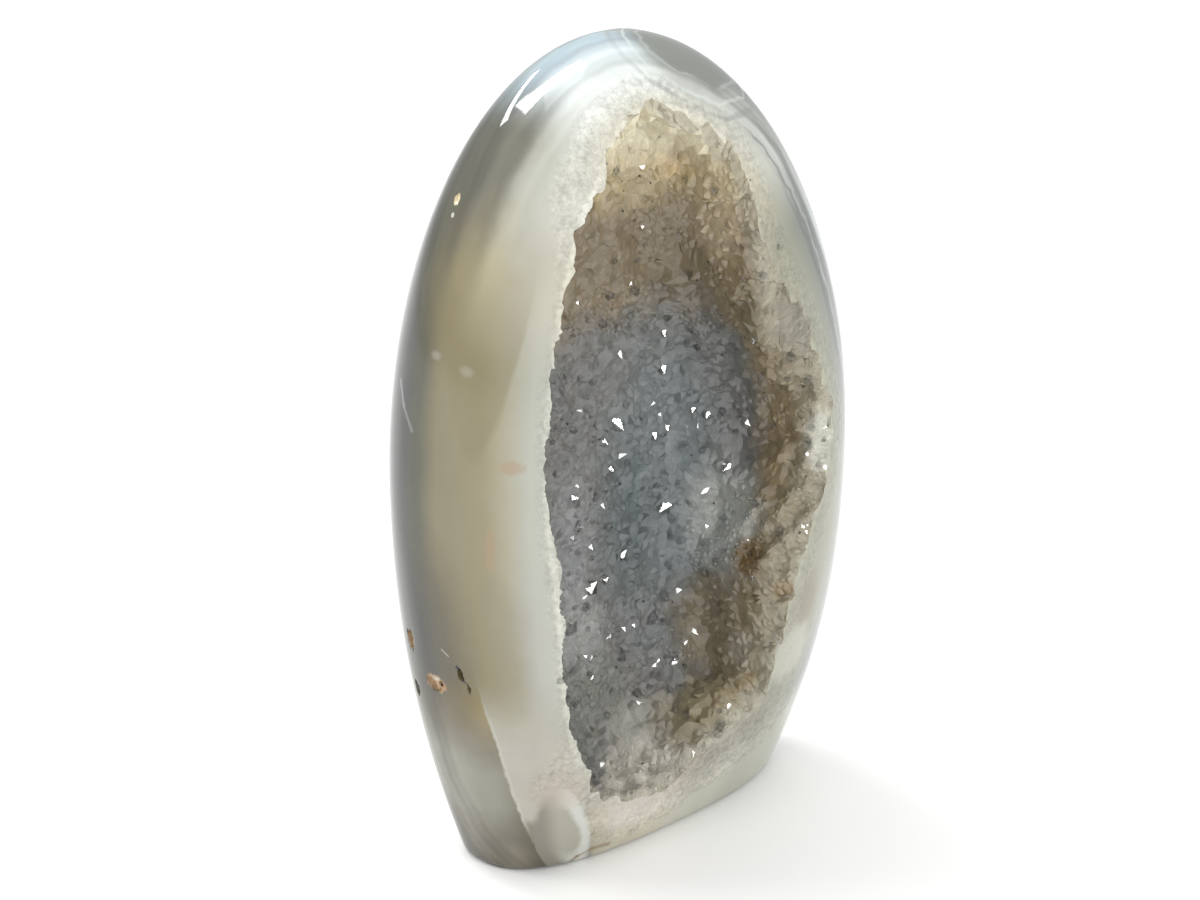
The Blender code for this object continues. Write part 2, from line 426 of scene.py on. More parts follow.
class Scatter:
    """Places on the hollow with varied room between them."""

    def __init__(self, spacing: tuple[float, float], tries: int, seed: int, overshoot: float) -> None:
        """Throws candidates on the hollow and keeps those with room.

        Args:
            spacing: the least and the most room that a place claims.
            tries: how many candidates are thrown.
            seed: the random seed.
            overshoot: how far in front of the polished surface places are still kept.
        """
        rng = np.random.default_rng(seed)
        u = rng.uniform(-HOLLOW.edge, HOLLOW.edge, tries)
        v = rng.uniform(-HOLLOW.edge, HOLLOW.edge, tries)
        inside = np.hypot(u, v) < 0.98 * HOLLOW.edge
        u, v = u[inside], v[inside]
        places = HOLLOW.places(u, v)
        depth = places[:, 1] - STONE.front_y(places[:, 0], places[:, 2])
        near = depth > -overshoot
        u, v, places, depth = u[near], v[near], places[near], depth[near]
        coarse = np.array([noise.noise(Vector(place) / 0.008) for place in places])
        share = np.clip(0.42 + 0.9 * coarse + rng.normal(0, 0.26, len(places)), 0, 1)
        room = spacing[0] + (spacing[1] - spacing[0]) * share
        room *= np.interp(depth, [0.0015, 0.0045], [0.72, 1.0])
        kept = spread(places, room)
        self.u, self.v, self.places, self.room, self.depth = u[kept], v[kept], places[kept], room[kept], depth[kept]

    def normals(self) -> np.ndarray:
        """Gives the direction into the open hollow at each place."""
        step = 1e-3
        du = HOLLOW.places(self.u + step, self.v) - HOLLOW.places(self.u - step, self.v)
        dv = HOLLOW.places(self.u, self.v + step) - HOLLOW.places(self.u, self.v - step)
        normal = np.cross(du, dv)
        normal /= np.linalg.norm(normal, axis=1, keepdims=True)
        middle = np.array([HOLLOW.middle_x, HOLLOW.front_y, HOLLOW.middle_z])
        towards = ((middle - self.places) * normal).sum(axis=1, keepdims=True)
        return normal * np.where(towards < 0, -1, 1)


# The broken quartz of the right, upper and lower rim, and the rounded lobe that it has at the lower right
BROKEN_SIZE = 0.0024
BROKEN_RISE = 0.0016
LOBE_PLACE = Vector((0.0185, -0.0205, 0.0286))
LOBE_REACH = 0.0075
LOBE_RISE = 0.0030


def relief(place: Vector) -> float:
    """Height of the lining's soft swellings at a place, in metres."""
    height = 0.0
    for size, rise, shift in ((0.011, 0.0012, 0.0), (0.0055, 0.0013, 3.1), (0.0026, 0.00075, 7.7)):
        height += noise.noise(place / size + Vector((shift, 0.0, 2 * shift))) * rise
    right = np.interp(place.x, (0.003, 0.010), (0, 1)) * np.interp(place.y, (-0.018, -0.013), (1, 0))
    low = np.interp(place.z, (0.019, 0.024, 0.099, 0.107), (1, 0, 0, 1))
    height += noise.noise(place / BROKEN_SIZE + Vector((5.0, 0.0, 9.0))) * BROKEN_RISE * max(right, low)
    away = ((place - LOBE_PLACE) / LOBE_REACH).length
    return height + LOBE_RISE * max(0.0, 1 - away * away)


@dataclass
class CrystalHollow:
    """The hollow's open space as a cutter, dented by one low pyramid for each crystal of the crust."""

    spacing: tuple[float, float] = (0.00050, 0.00165)
    tries: int = 240000
    seed: int = 11
    edge_points: int = 96
    rise: tuple[float, float] = (0.10, 0.40)
    lean: float = 0.15
    cap_y: float = -0.042

    def build(self, name: str) -> bpy.types.Object:
        """Builds the cutter.

        Args:
            name: the object's name.

        Returns:
            The object, closed, with its faces pointing out.
        """
        scatter = Scatter(self.spacing, self.tries, self.seed, 0.002)
        turns = np.linspace(0, math.tau, self.edge_points, endpoint=False)
        rim_u, rim_v = HOLLOW.edge * np.cos(turns), HOLLOW.edge * np.sin(turns)
        places = np.vstack([scatter.places, HOLLOW.places(rim_u, rim_v)])
        u, v = np.concatenate([scatter.u, rim_u]), np.concatenate([scatter.v, rim_v])
        flat = [Vector(pair) for pair in zip(u * HOLLOW.half_width, v * HOLLOW.half_height)]
        triangles = delaunay_2d_cdt(flat, [], [], 0, 1e-9)[2]
        inwards = scatter.normals()
        bm = bmesh.new()
        verts = [bm.verts.new(place) for place in places]
        for triangle in triangles:
            bm.faces.new([verts[index] for index in triangle])
        bmesh.ops.recalc_face_normals(bm, faces=bm.faces)
        inner = [edge for edge in bm.edges if not edge.is_boundary]
        bmesh.ops.beautify_fill(bm, faces=list(bm.faces), edges=inner, method="ANGLE")
        old_edges = [edge for edge in bm.edges if not edge.is_boundary]
        bmesh.ops.poke(bm, faces=list(bm.faces))
        bmesh.ops.rotate_edges(bm, edges=old_edges, use_ccw=False)
        middle = Vector((HOLLOW.middle_x, HOLLOW.front_y, HOLLOW.middle_z))
        for vert in bm.verts:
            vert.co += (middle - vert.co).normalized() * relief(vert.co)
        rng = random.Random(self.seed + 1)
        for vert, inward, room in zip(verts, inwards, scatter.room):
            lean = Vector((rng.gauss(0, 1), rng.gauss(0, 1), rng.gauss(0, 1))) * room * self.lean
            vert.co += Vector(inward) * room * rng.uniform(*self.rise) + lean
        rim = [edge for edge in bm.edges if edge.is_boundary]
        for item in bmesh.ops.extrude_edge_only(bm, edges=rim)["geom"]:
            if isinstance(item, bmesh.types.BMVert):
                item.co.y = self.cap_y
        bmesh.ops.holes_fill(bm, edges=[edge for edge in bm.edges if edge.is_boundary])
        bmesh.ops.recalc_face_normals(bm, faces=bm.faces)
        mesh = bpy.data.meshes.new(name)
        bm.to_mesh(mesh)
        bm.free()
        obj = bpy.data.objects.new(name, mesh)
        bpy.context.scene.collection.objects.link(obj)
        self.tips = scatter.places
        return obj


# Materials


class Wire:
    """A shader socket that takes part in Python expressions."""

    def __init__(self, bench: "Bench", socket: bpy.types.NodeSocket) -> None:
        """Keeps the socket and the bench that it belongs to."""
        self.bench = bench
        self.socket = socket

    def _math(self, operation: str, *values: Any) -> "Wire":
        """Adds a Math node on these values."""
        return self.bench.node("ShaderNodeMath", {"operation": operation}, {i: v for i, v in enumerate(values)})

    def __add__(self, other: Any) -> "Wire":
        """Adds."""
        return self._math("ADD", self, other)

    __radd__ = __add__

    def __sub__(self, other: Any) -> "Wire":
        """Subtracts."""
        return self._math("SUBTRACT", self, other)

    def __rsub__(self, other: Any) -> "Wire":
        """Subtracts from a number."""
        return self._math("SUBTRACT", other, self)

    def __mul__(self, other: Any) -> "Wire":
        """Multiplies."""
        return self._math("MULTIPLY", self, other)

    __rmul__ = __mul__

    def __truediv__(self, other: Any) -> "Wire":
        """Divides."""
        return self._math("DIVIDE", self, other)

    def __pow__(self, other: Any) -> "Wire":
        """Raises to a power."""
        return self._math("POWER", self, other)

    def at_least(self, other: Any) -> "Wire":
        """Gives the larger of two values."""
        return self._math("MAXIMUM", self, other)

    def at_most(self, other: Any) -> "Wire":
        """Gives the smaller of two values."""
        return self._math("MINIMUM", self, other)

    def sine(self) -> "Wire":
        """Gives the sine."""
        return self._math("SINE", self)

    def near(self, middle: float, half: float, soft: float) -> "Wire":
        """Gives 1 within half a width of a value, and fades to 0 beyond it."""
        return self._math("ABSOLUTE", self - middle).ramp(half + soft, half)

    def ramp(self, low: float, high: float, to_low: float = 0.0, to_high: float = 1.0) -> "Wire":
        """Maps a range smoothly onto another.

        Args:
            low: the value that gives to_low.
            high: the value that gives to_high.
            to_low: the result below the range.
            to_high: the result above it.

        Returns:
            The mapped value.
        """
        inputs = {"Value": self, "From Min": low, "From Max": high, "To Min": to_low, "To Max": to_high}
        return self.bench.node("ShaderNodeMapRange", {"interpolation_type": "SMOOTHSTEP"}, inputs, "Result")


class Bench:
    """A material's node tree, and the one way in which nodes are added to it."""

    def __init__(self, owner: bpy.types.Material | bpy.types.World) -> None:
        """Empties the node tree of a material or a world, and reads the place in millimetres."""
        self.owner = owner
        owner.use_nodes = True
        self.tree = owner.node_tree
        self.tree.nodes.clear()
        coordinates = self.tree.nodes.new("ShaderNodeTexCoord")
        metres = Wire(self, coordinates.outputs["Object"])
        self.place = self.vector("SCALE", metres, Scale=1 / MM)

    def node(self, kind: str, settings: dict[str, Any], inputs: dict[Any, Any], output: Any = 0) -> Wire:
        """Adds a node.

        Args:
            kind: the node's type.
            settings: properties, set first. A ramp's stops are given as "stops".
            inputs: values or wires, by socket name or number.
            output: the output to return.

        Returns:
            The output's wire.
        """
        node = self.tree.nodes.new(kind)
        for name, value in settings.items():
            if name == "stops":
                ramp = node.color_ramp
                while len(ramp.elements) < len(value):
                    ramp.elements.new(0.5)
                for element, (position, colour) in zip(ramp.elements, value):
                    element.position = position
                    element.color = (*colour, 1.0)
            else:
                setattr(node, name, value)
        for name, value in inputs.items():
            socket = node.inputs[name]
            if isinstance(value, Wire):
                self.tree.links.new(value.socket, socket)
            else:
                socket.default_value = value
        return Wire(self, node.outputs[output])

    def vector(self, operation: str, *values: Any, **named: Any) -> Wire:
        """Adds a Vector Math node."""
        inputs = {**{i: v for i, v in enumerate(values)}, **named}
        output = "Value" if operation in ("LENGTH", "DISTANCE", "DOT_PRODUCT") else "Vector"
        return self.node("ShaderNodeVectorMath", {"operation": operation}, inputs, output)

    def axis(self, letter: str) -> Wire:
        """Gives one coordinate of the place, in millimetres."""
        return self.node("ShaderNodeSeparateXYZ", {}, {0: self.place}, letter)

    def noise(self, size: float, detail: float = 2.0, rough: float = 0.5, seed: float = 0.0,
              stretch: tuple[float, float, float] = (1, 1, 1), place: Wire | None = None) -> Wire:
        """Adds soft noise from 0 to 1.

        Args:
            size: the size of its lumps in millimetres.
            detail: how many finer layers it has.
            rough: how strong they are.
            seed: an offset that makes it another noise.
            stretch: how much longer its lumps are along each axis.
            place: the place to read, if not the plain one.

        Returns:
            The noise.
        """
        scale = tuple(1 / (size * s) for s in stretch)
        scaled = self.vector("MULTIPLY", place or self.place, scale)
        moved = self.vector("ADD", scaled, (seed, seed * 1.7, seed * 0.6))
        inputs = {"Vector": moved, "Scale": 1.0, "Detail": detail, "Roughness": rough}
        return self.node("ShaderNodeTexNoise", {"noise_dimensions": "3D"}, inputs, "Fac")

    def cells(self, size: float, feature: str = "F1", output: str = "Distance", place: Wire | None = None) -> Wire:
        """Adds Voronoi cells of a size in millimetres."""
        inputs = {"Vector": place or self.place, "Scale": 1 / size}
        return self.node("ShaderNodeTexVoronoi", {"feature": feature}, inputs, output)

    def mix(self, factor: Any, first: Any, second: Any, blend: str = "MIX") -> Wire:
        """Mixes two colours, given as wires or as red, green and blue."""
        settings = {"data_type": "RGBA", "blend_type": blend, "clamp_factor": True}
        sockets = {0: factor, 6: self.colour(first), 7: self.colour(second)}
        return self.node("ShaderNodeMix", settings, sockets, 2)

    @staticmethod
    def colour(value: Any) -> Any:
        """Gives a colour its alpha, and leaves a wire alone."""
        return value if isinstance(value, Wire) else (*value, 1.0)

    def spot(self, centre: tuple[float, float, float], radius: tuple[float, float, float], soft: float = 0.5,
             wobble: float = 0.25, size: float = 4.0, seed: float = 0.0) -> Wire:
        """Gives a soft-edged patch.

        Args:
            centre: its middle in millimetres.
            radius: its reach along each axis in millimetres.
            soft: the share of the reach over which it fades.
            wobble: how ragged its edge is.
            size: the size of the edge's lumps in millimetres.
            seed: makes the edge another one.

        Returns:
            1 in the patch and 0 beyond it.
        """
        offset = self.vector("SUBTRACT", self.place, centre)
        share = self.vector("LENGTH", self.vector("DIVIDE", offset, radius))
        ragged = share + (self.noise(size, 3.0, 0.6, seed) - 0.5) * (2 * wobble)
        return ragged.ramp(1.0 + soft / 2, 1.0 - soft / 2)

    def attribute(self, name: str) -> Wire:
        """Reads a value that the mesh carries at its points."""
        return self.node("ShaderNodeAttribute", {"attribute_name": name}, {}, "Fac")

    def stroke(self, start: Place, end: Place, width: float, soft: float = 0.5, wobble: float = 0.0) -> Wire:
        """Gives a soft-edged line.

        Args:
            start: one end in millimetres.
            end: the other end.
            width: its width in millimetres.
            soft: the share of the width over which it fades.
            wobble: how ragged its edge is, in millimetres.

        Returns:
            1 on the line and 0 beside it.
        """
        along = tuple(b - a for a, b in zip(start, end))
        offset = self.vector("SUBTRACT", self.place, start)
        share = self.vector("DOT_PRODUCT", offset, along) * (1 / sum(step * step for step in along))
        nearest = self.vector("SCALE", along, Scale=share.at_least(0.0).at_most(1.0))
        distance = self.vector("LENGTH", self.vector("SUBTRACT", offset, nearest))
        if wobble:
            distance = distance + (self.noise(0.9, 2.0, 0.6, start[2]) - 0.5) * (2 * wobble)
        return distance.ramp(width * (0.5 + soft / 2), width * (0.5 - soft / 2))

    def bands(self, value: Wire, stops: Sequence[tuple[float, Colour]]) -> Wire:
        """Reads a colour from stops along a value."""
        low, high = stops[0][0], stops[-1][0]
        ramp = [((place - low) / (high - low), colour) for place, colour in stops]
        return self.node("ShaderNodeValToRGB", {"stops": ramp}, {"Fac": (value - low) * (1 / (high - low))}, "Color")

    def shade(self, colour: Wire, amount: Wire) -> Wire:
        """Makes a colour lighter or darker by a share."""
        return self.vector("SCALE", colour, Scale=amount + 1.0)

    def bump(self, height: Wire, distance: float, strength: float, under: Wire | None = None) -> Wire:
        """Adds a Bump node. The distance is in metres."""
        inputs: dict[Any, Any] = {"Height": height, "Distance": distance, "Strength": strength}
        if under is not None:
            inputs["Normal"] = under
        return self.node("ShaderNodeBump", {}, inputs, "Normal")

    def finish(self, inputs: dict[str, Any]) -> bpy.types.Material:
        """Adds the shader and the output.

        Args:
            inputs: the shader's values and wires.

        Returns:
            The material.
        """
        shader = self.node("ShaderNodeBsdfPrincipled", {}, inputs, "BSDF")
        output = self.tree.nodes.new("ShaderNodeOutputMaterial")
        self.tree.links.new(shader.socket, output.inputs["Surface"])
        return self.owner


# Marks on the polished face


@dataclass(frozen=True)
class Patch:
    """A soft-edged stain or clearing, or a patch of painted light, shade or reflection. Places and sizes are in
    millimetres, colours are shares of light sent back.
    """

    centre: Place
    reach: Place
    colour: Colour
    strength: float = 1.0
    soft: float = 0.8
    wobble: float = 0.35
    lump: float = 4.0

    def lay(self, bench: Bench, under: Wire, seed: float) -> Wire:
        """Lays the patch over a colour, with a ragged edge of its own."""
        mask = bench.spot(self.centre, self.reach, self.soft, self.wobble, self.lump, seed)
        return bench.mix(mask * self.strength, under, self.colour)


@dataclass(frozen=True)
class Line:
    """A thin line, scratch or healed crack, in millimetres."""

    start: Place
    end: Place
    width: float
    colour: Colour
    strength: float = 1.0
    soft: float = 0.6
    wobble: float = 0.0

    def lay(self, bench: Bench, under: Wire, seed: float) -> Wire:
        """Lays the line over a colour."""
        mask = bench.stroke(self.start, self.end, self.width, self.soft, self.wobble)
        return bench.mix(mask * self.strength, under, self.colour)


@dataclass(frozen=True)
class Pit:
    """A pit in the polish, sunk in the mesh. All sizes are in millimetres."""

    centre: Place
    reach: Place
    depth: float

    def depth_at(self, places: np.ndarray) -> np.ndarray:
        """Gives how deep the pit is at each place, given and returned in metres."""
        share = np.linalg.norm((places / MM - self.centre) / self.reach, axis=1)
        ragged = np.array([noise.noise(Vector(place) / 0.0006) for place in places])
        return np.clip((1.15 - share + 0.55 * ragged) / 0.45, 0, 1) * self.depth * (1 + 0.5 * ragged) * MM


def lay_all(bench: Bench, under: Wire, marks: Iterable[Patch | Line]) -> Wire:
    """Lays marks one after another."""
    for number, mark in enumerate(marks):
        under = mark.lay(bench, under, 1.3 + 2.9 * number)
    return under


PITS = (
    Pit((-37.1, 0.1, 34.3), (3.0, 1.9, 1.2), 0.35),
    Pit((-37.1, -0.8, 34.4), (2.0, 0.42, 0.42), 0.9),
    Pit((-37.2, -6.0, 38.1), (2.0, 0.45, 0.95), 0.8),
    Pit((-36.8, -7.3, 36.0), (2.0, 0.25, 0.75), 0.7),
    Pit((-37.1, 6.2, 39.6), (3.0, 1.0, 1.6), 0.55),
    Pit((-35.9, 6.4, 30.7), (3.0, 0.8, 1.1), 0.45),
    Pit((-29.1, 2.3, 108.9), (1.6, 0.55, 0.7), 0.30),
)

# Stains and lines of the polished face, and two pale spots that are painted reflections
STAINS_AND_REFLECTIONS = (
    Patch((-37.1, 0.1, 34.3), (3.0, 2.2, 1.4), (0.33, 0.20, 0.085), 0.95, 0.35, 0.45, 0.9),
    Patch((-37.1, 0.5, 34.9), (3.0, 0.9, 0.4), (0.55, 0.50, 0.42), 0.7, 0.9, 0.6, 0.5),
    Patch((-37.1, 1.6, 33.8), (3.0, 1.1, 0.9), (0.17, 0.085, 0.03), 0.6, 0.6, 0.9, 0.5),
    Patch((-37.1, -1.9, 34.3), (3.0, 0.45, 0.5), (0.30, 0.13, 0.02), 0.8, 0.6, 0.4, 0.6),
    Patch((-37.1, -0.8, 34.4), (3.0, 0.42, 0.42), (0.035, 0.010, 0.004), 1.0, 0.5, 0.1, 0.5),
    Line((-37.3, -5.6, 39.0), (-37.0, -6.4, 37.2), 0.75, (0.012, 0.007, 0.004), 1.0, 0.5, 0.5),
    Line((-37.0, -6.4, 37.2), (-36.9, -6.9, 36.9), 0.35, (0.02, 0.012, 0.006), 1.0, 0.5, 0.2),
    Line((-36.9, -7.1, 36.8), (-36.6, -7.5, 35.4), 0.34, (0.03, 0.02, 0.01), 1.0, 0.5, 0.15),
    Patch((-37.1, 6.2, 39.6), (3.0, 1.1, 1.7), (0.22, 0.13, 0.05), 0.9, 0.4, 0.4, 0.8),
    Patch((-35.9, 6.4, 30.7), (3.0, 0.8, 1.1), (0.05, 0.045, 0.03), 0.9, 0.5, 0.4, 0.8),
    Patch((-29.1, 2.3, 108.9), (1.6, 0.65, 0.8), (0.66, 0.56, 0.36), 0.95, 0.3, 0.25, 0.6),
    Patch((-30.2, 2.0, 106.8), (1.0, 0.35, 0.35), (0.62, 0.62, 0.58), 0.7, 0.5, 0.2, 0.6),
    Patch((-34.6, -15.9, 74.0), (3.0, 1.5, 1.0), (0.33, 0.20, 0.11), 0.45, 0.9, 0.7, 0.8),
    Line((-36.6, -13.2, 63.5), (-36.8, -13.0, 58.2), 1.1, (0.34, 0.21, 0.12), 0.45, 0.9, 0.9),
    Line((-37.8, -2.4, 41.2), (-37.7, -3.8, 40.5), 0.28, (0.34, 0.34, 0.30), 0.8, 0.8, 0.1),
    # Painted reflections: two faint light spots on the left flank that stand in for small things mirrored in the polish
    Patch((-36.6, -1.4, 87.8), (2.0, 1.0, 0.6), (0.36, 0.36, 0.33), 0.35, 1.2, 0.3, 2.0),
    Patch((-36.2, -8.0, 86.9), (2.0, 1.2, 0.7), (0.40, 0.38, 0.33), 0.30, 1.2, 0.3, 2.0),
    Line((-36.7, 7.0, 81.6), (-37.7, 5.3, 78.4), 0.6, (0.22, 0.23, 0.23), 0.7, 0.9, 0.1),
    Line((-37.7, 5.3, 78.4), (-38.4, 2.6, 75.4), 0.6, (0.20, 0.21, 0.21), 0.6, 0.9, 0.1),
    Patch((18.3, -21.7, 29.0), (4.6, 3.6, 5.2), (0.42, 0.42, 0.345), 0.8, 0.7, 0.3, 2.0),
    Patch((20.3, -22.4, 38.5), (2.8, 2.8, 4.2), (0.205, 0.175, 0.110), 0.6, 1.0, 0.5, 2.0),
    Patch((-24.5, -14.4, 18.0), (5.5, 4.0, 4.0), (0.430, 0.355, 0.290), 0.4, 1.0, 0.5, 2.0),
    Patch((-13.0, -17.5, 9.5), (7.0, 4.0, 4.5), (0.620, 0.575, 0.510), 0.5, 1.0, 0.5, 2.0),
    Line((-20.0, -9.8, 0.4), (-18.9, -11.4, 1.7), 0.8, (0.16, 0.10, 0.045), 0.85, 0.7, 0.3),
    Line((-18.9, -11.4, 1.7), (-16.5, -12.4, 2.7), 0.5, (0.24, 0.18, 0.10), 0.7, 0.7, 0.3),
    Line((-16.5, -12.4, 2.7), (-13.5, -13.0, 2.4), 1.0, (0.20, 0.14, 0.07), 0.75, 0.8, 0.5),
)


# Finishes


@dataclass(frozen=True)
class PolishedFinish:
    """The polished face, banded by its depth in the wall: millimetres from the quartz, which has less than 0."""

    low: Stops = (
        (-6.0, (0.45, 0.45, 0.39)),
        (-1.0, (0.37, 0.37, 0.33)),
        (1.7, (0.26, 0.24, 0.165)),
        (4.5, (0.21, 0.18, 0.10)),
        (8.0, (0.08, 0.07, 0.035)),
        (11.5, (0.02, 0.02, 0.013)),
        (14.0, (0.045, 0.05, 0.04)),
        (21.0, (0.095, 0.10, 0.095)),
        (24.0, (0.06, 0.06, 0.06)),
    )
    flank: Stops = (
        (-4.0, (0.40, 0.40, 0.35)),
        (-1.5, (0.39, 0.40, 0.345)),
        (1.8, (0.31, 0.28, 0.19)),
        (3.2, (0.245, 0.215, 0.13)),
        (7.2, (0.175, 0.15, 0.08)),
        (9.7, (0.06, 0.06, 0.035)),
        (12.7, (0.013, 0.015, 0.012)),
        (18.5, (0.045, 0.05, 0.045)),
        (21.0, (0.095, 0.10, 0.095)),
        (24.0, (0.06, 0.06, 0.06)),
    )
    shoulder: Stops = (
        (-2.0, (0.465, 0.45, 0.37)),
        (0.2, (0.395, 0.375, 0.30)),
        (3.5, (0.33, 0.295, 0.19)),
        (6.5, (0.21, 0.18, 0.10)),
        (10.5, (0.085, 0.08, 0.05)),
        (14.0, (0.02, 0.02, 0.017)),
        (18.0, (0.075, 0.08, 0.075)),
        (22.0, (0.05, 0.05, 0.05)),
    )
    crown: Stops = (
        (-0.5, (0.50, 0.50, 0.44)),
        (2.5, (0.385, 0.39, 0.335)),
        (5.2, (0.14, 0.135, 0.105)),
        (9.0, (0.09, 0.09, 0.07)),
        (12.0, (0.05, 0.05, 0.035)),
        (15.0, (0.095, 0.10, 0.09)),
        (20.0, (0.14, 0.15, 0.145)),
    )
    crest: Stops = (
        (-4.0, (0.44, 0.415, 0.33)),
        (-1.2, (0.53, 0.52, 0.44)),
        (0.8, (0.655, 0.67, 0.62)),
        (6.0, (0.53, 0.585, 0.59)),
        (9.5, (0.315, 0.395, 0.44)),
        (12.0, (0.24, 0.305, 0.325)),
        (15.0, (0.17, 0.19, 0.19)),
        (20.0, (0.105, 0.115, 0.11)),
    )
    crest_right: Stops = (
        (-4.0, (0.475, 0.44, 0.345)),
        (1.0, (0.46, 0.47, 0.42)),
        (3.0, (0.425, 0.435, 0.40)),
        (7.0, (0.235, 0.25, 0.225)),
        (9.0, (0.16, 0.175, 0.155)),
        (20.0, (0.10, 0.11, 0.105)),
    )
    right: Stops = (
        (-5.0, (0.27, 0.265, 0.20)),
        (-2.0, (0.25, 0.255, 0.20)),
        (1.0, (0.175, 0.19, 0.16)),
        (2.0, (0.11, 0.12, 0.11)),
        (2.9, (0.15, 0.165, 0.15)),
        (3.6, (0.06, 0.065, 0.055)),
        (4.4, (0.12, 0.13, 0.12)),
        (5.2, (0.085, 0.095, 0.085)),
        (6.5, (0.30, 0.33, 0.325)),
        (8.0, (0.33, 0.36, 0.355)),
        (10.5, (0.08, 0.085, 0.085)),
        (13.0, (0.16, 0.17, 0.17)),
        (17.0, (0.07, 0.075, 0.075)),
        (21.0, (0.13, 0.135, 0.13)),
        (25.0, (0.06, 0.065, 0.06)),
    )
    sill: Stops = (
        (0.0, (0.245, 0.22, 0.17)),
        (6.0, (0.345, 0.335, 0.275)),
        (9.0, (0.43, 0.42, 0.35)),
        (13.0, (0.44, 0.445, 0.36)),
    )
    sill_left: Stops = (
        (0.0, (0.405, 0.38, 0.32)),
        (4.5, (0.54, 0.51, 0.44)),
        (7.0, (0.48, 0.45, 0.36)),
        (10.0, (0.455, 0.425, 0.33)),
    )
    plate: Stops = (
        (0.0, (0.085, 0.075, 0.05)),
        (9.0, (0.16, 0.145, 0.11)),
        (14.0, (0.22, 0.22, 0.175)),
        (21.0, (0.22, 0.22, 0.175)),
        (29.0, (0.14, 0.115, 0.065)),
        (34.0, (0.105, 0.08, 0.03)),
        (43.0, (0.06, 0.05, 0.025)),
    )
    olive: Colour = (0.185, 0.155, 0.078)
    dark_foot: Colour = (0.030, 0.026, 0.014)
    cream: Colour = (0.372, 0.362, 0.306)
    cream_edge: Colour = (0.470, 0.460, 0.400)
    lens: Colour = (0.155, 0.168, 0.148)
    white_line: Colour = (0.60, 0.66, 0.65)
    dark_line: Colour = (0.21, 0.225, 0.21)
    edge_dark: Colour = (0.085, 0.095, 0.088)
    edge_light: Colour = (0.42, 0.46, 0.45)
    milk: Colour = (0.520, 0.530, 0.485)
    tan: Colour = (0.335, 0.325, 0.262)
    smoke: Colour = (0.205, 0.198, 0.155)
    beside_eye: Colour = (0.352, 0.318, 0.240)
    lens_centre: Place = (14.8, -17.7, 147.0)
    eye_turn: float = 29.0
    eye_level: float = 8.6
    eye_reach: tuple[float, float] = (7.9, 9.3)

    def colour(self, bench: Bench, grain: Wire, where_grainy: Wire) -> Wire:
        """Builds the polished colour.

        Args:
            bench: the material's bench.
            grain: how much lighter or darker each grain of the quartz is.
            where_grainy: where the quartz shows its grains.

        Returns:
            The colour.
        """
        pocket = bench.attribute("pocket_mm")
        edge = bench.attribute("edge_mm")
        x, y, z = (bench.axis(letter) for letter in "XYZ")
        turn = bench.node("ShaderNodeMath", {"operation": "ARCTAN2"}, {0: 0.0 - y, 1: 0.0 - x}) * math.degrees(1)
        drift = (bench.noise(15, 2, 0.5, 3.0) - 0.5) * 1.8 + (bench.noise(4.5, 2, 0.5, 5.0) - 0.5) * 0.8
        depth = pocket + drift
        level = z + (bench.noise(9, 2, 0.5, 7.0) - 0.5) * 10
        colour = bench.mix(level.ramp(48, 62), bench.bands(depth, self.low), bench.bands(depth, self.flank))
        colour = bench.mix(level.ramp(86, 99), colour, bench.bands(depth, self.shoulder))
        colour = bench.mix(level.ramp(100, 113), colour, bench.bands(depth, self.crown))
        lobe = (z - 74.0) - (turn - 15.0) * (turn - 15.0) * 0.16 + (bench.noise(5, 2, 0.5, 6.0) - 0.5) * 3.0
        inside_lobe = lobe.ramp(-1.5, 2.5) * z.ramp(104, 86) * turn.ramp(-6, 4) * turn.ramp(34, 25)
        colour = bench.mix(inside_lobe * 0.45, colour, self.olive)
        colour = self.foot(bench, colour, turn, z, pocket)
        side = x.ramp(-1, 12)
        colour = bench.mix(side, colour, bench.bands(depth, self.right))
        colour = bench.mix(z.ramp(106, 116) * x.ramp(-23, -14), colour, bench.bands(depth, self.crest))
        crest_right = bench.bands(depth, self.crest_right)
        colour = bench.mix(z.ramp(98, 113) * x.ramp(-5, 2), colour, crest_right)
        sill = bench.mix(x.ramp(-8, 3), bench.bands(edge, self.sill_left), bench.bands(edge, self.sill))
        sill = bench.shade(sill, x.ramp(7, 13) * -0.15 + x.ramp(-9, -5) * x.ramp(6, -1) * 0.12)
        where_sill = z.ramp(23, 14) * x.ramp(-18, -13) * y.ramp(-3, -9)
        colour = bench.mix(where_sill, colour, sill)
        colour = self.fine_bands(bench, colour, depth, side, z, where_sill)
        colour = self.arcs(bench, colour, x, z, pocket)
        colour = self.eye(bench, colour, turn, z)
        # Painted highlight: the colour is lightened in a thin lacy line along the hollow's edge, standing in for the
        # quartz edge catching light
        rim_highlight = (edge - bench.cells(0.9) * 0.7).ramp(0.5, -0.1) * z.ramp(18, 26) * 0.24
        colour = bench.shade(colour, grain * where_grainy * z.ramp(24, 15, 1.0, 1.5) + rim_highlight)
        return lay_all(bench, colour, STAINS_AND_REFLECTIONS)

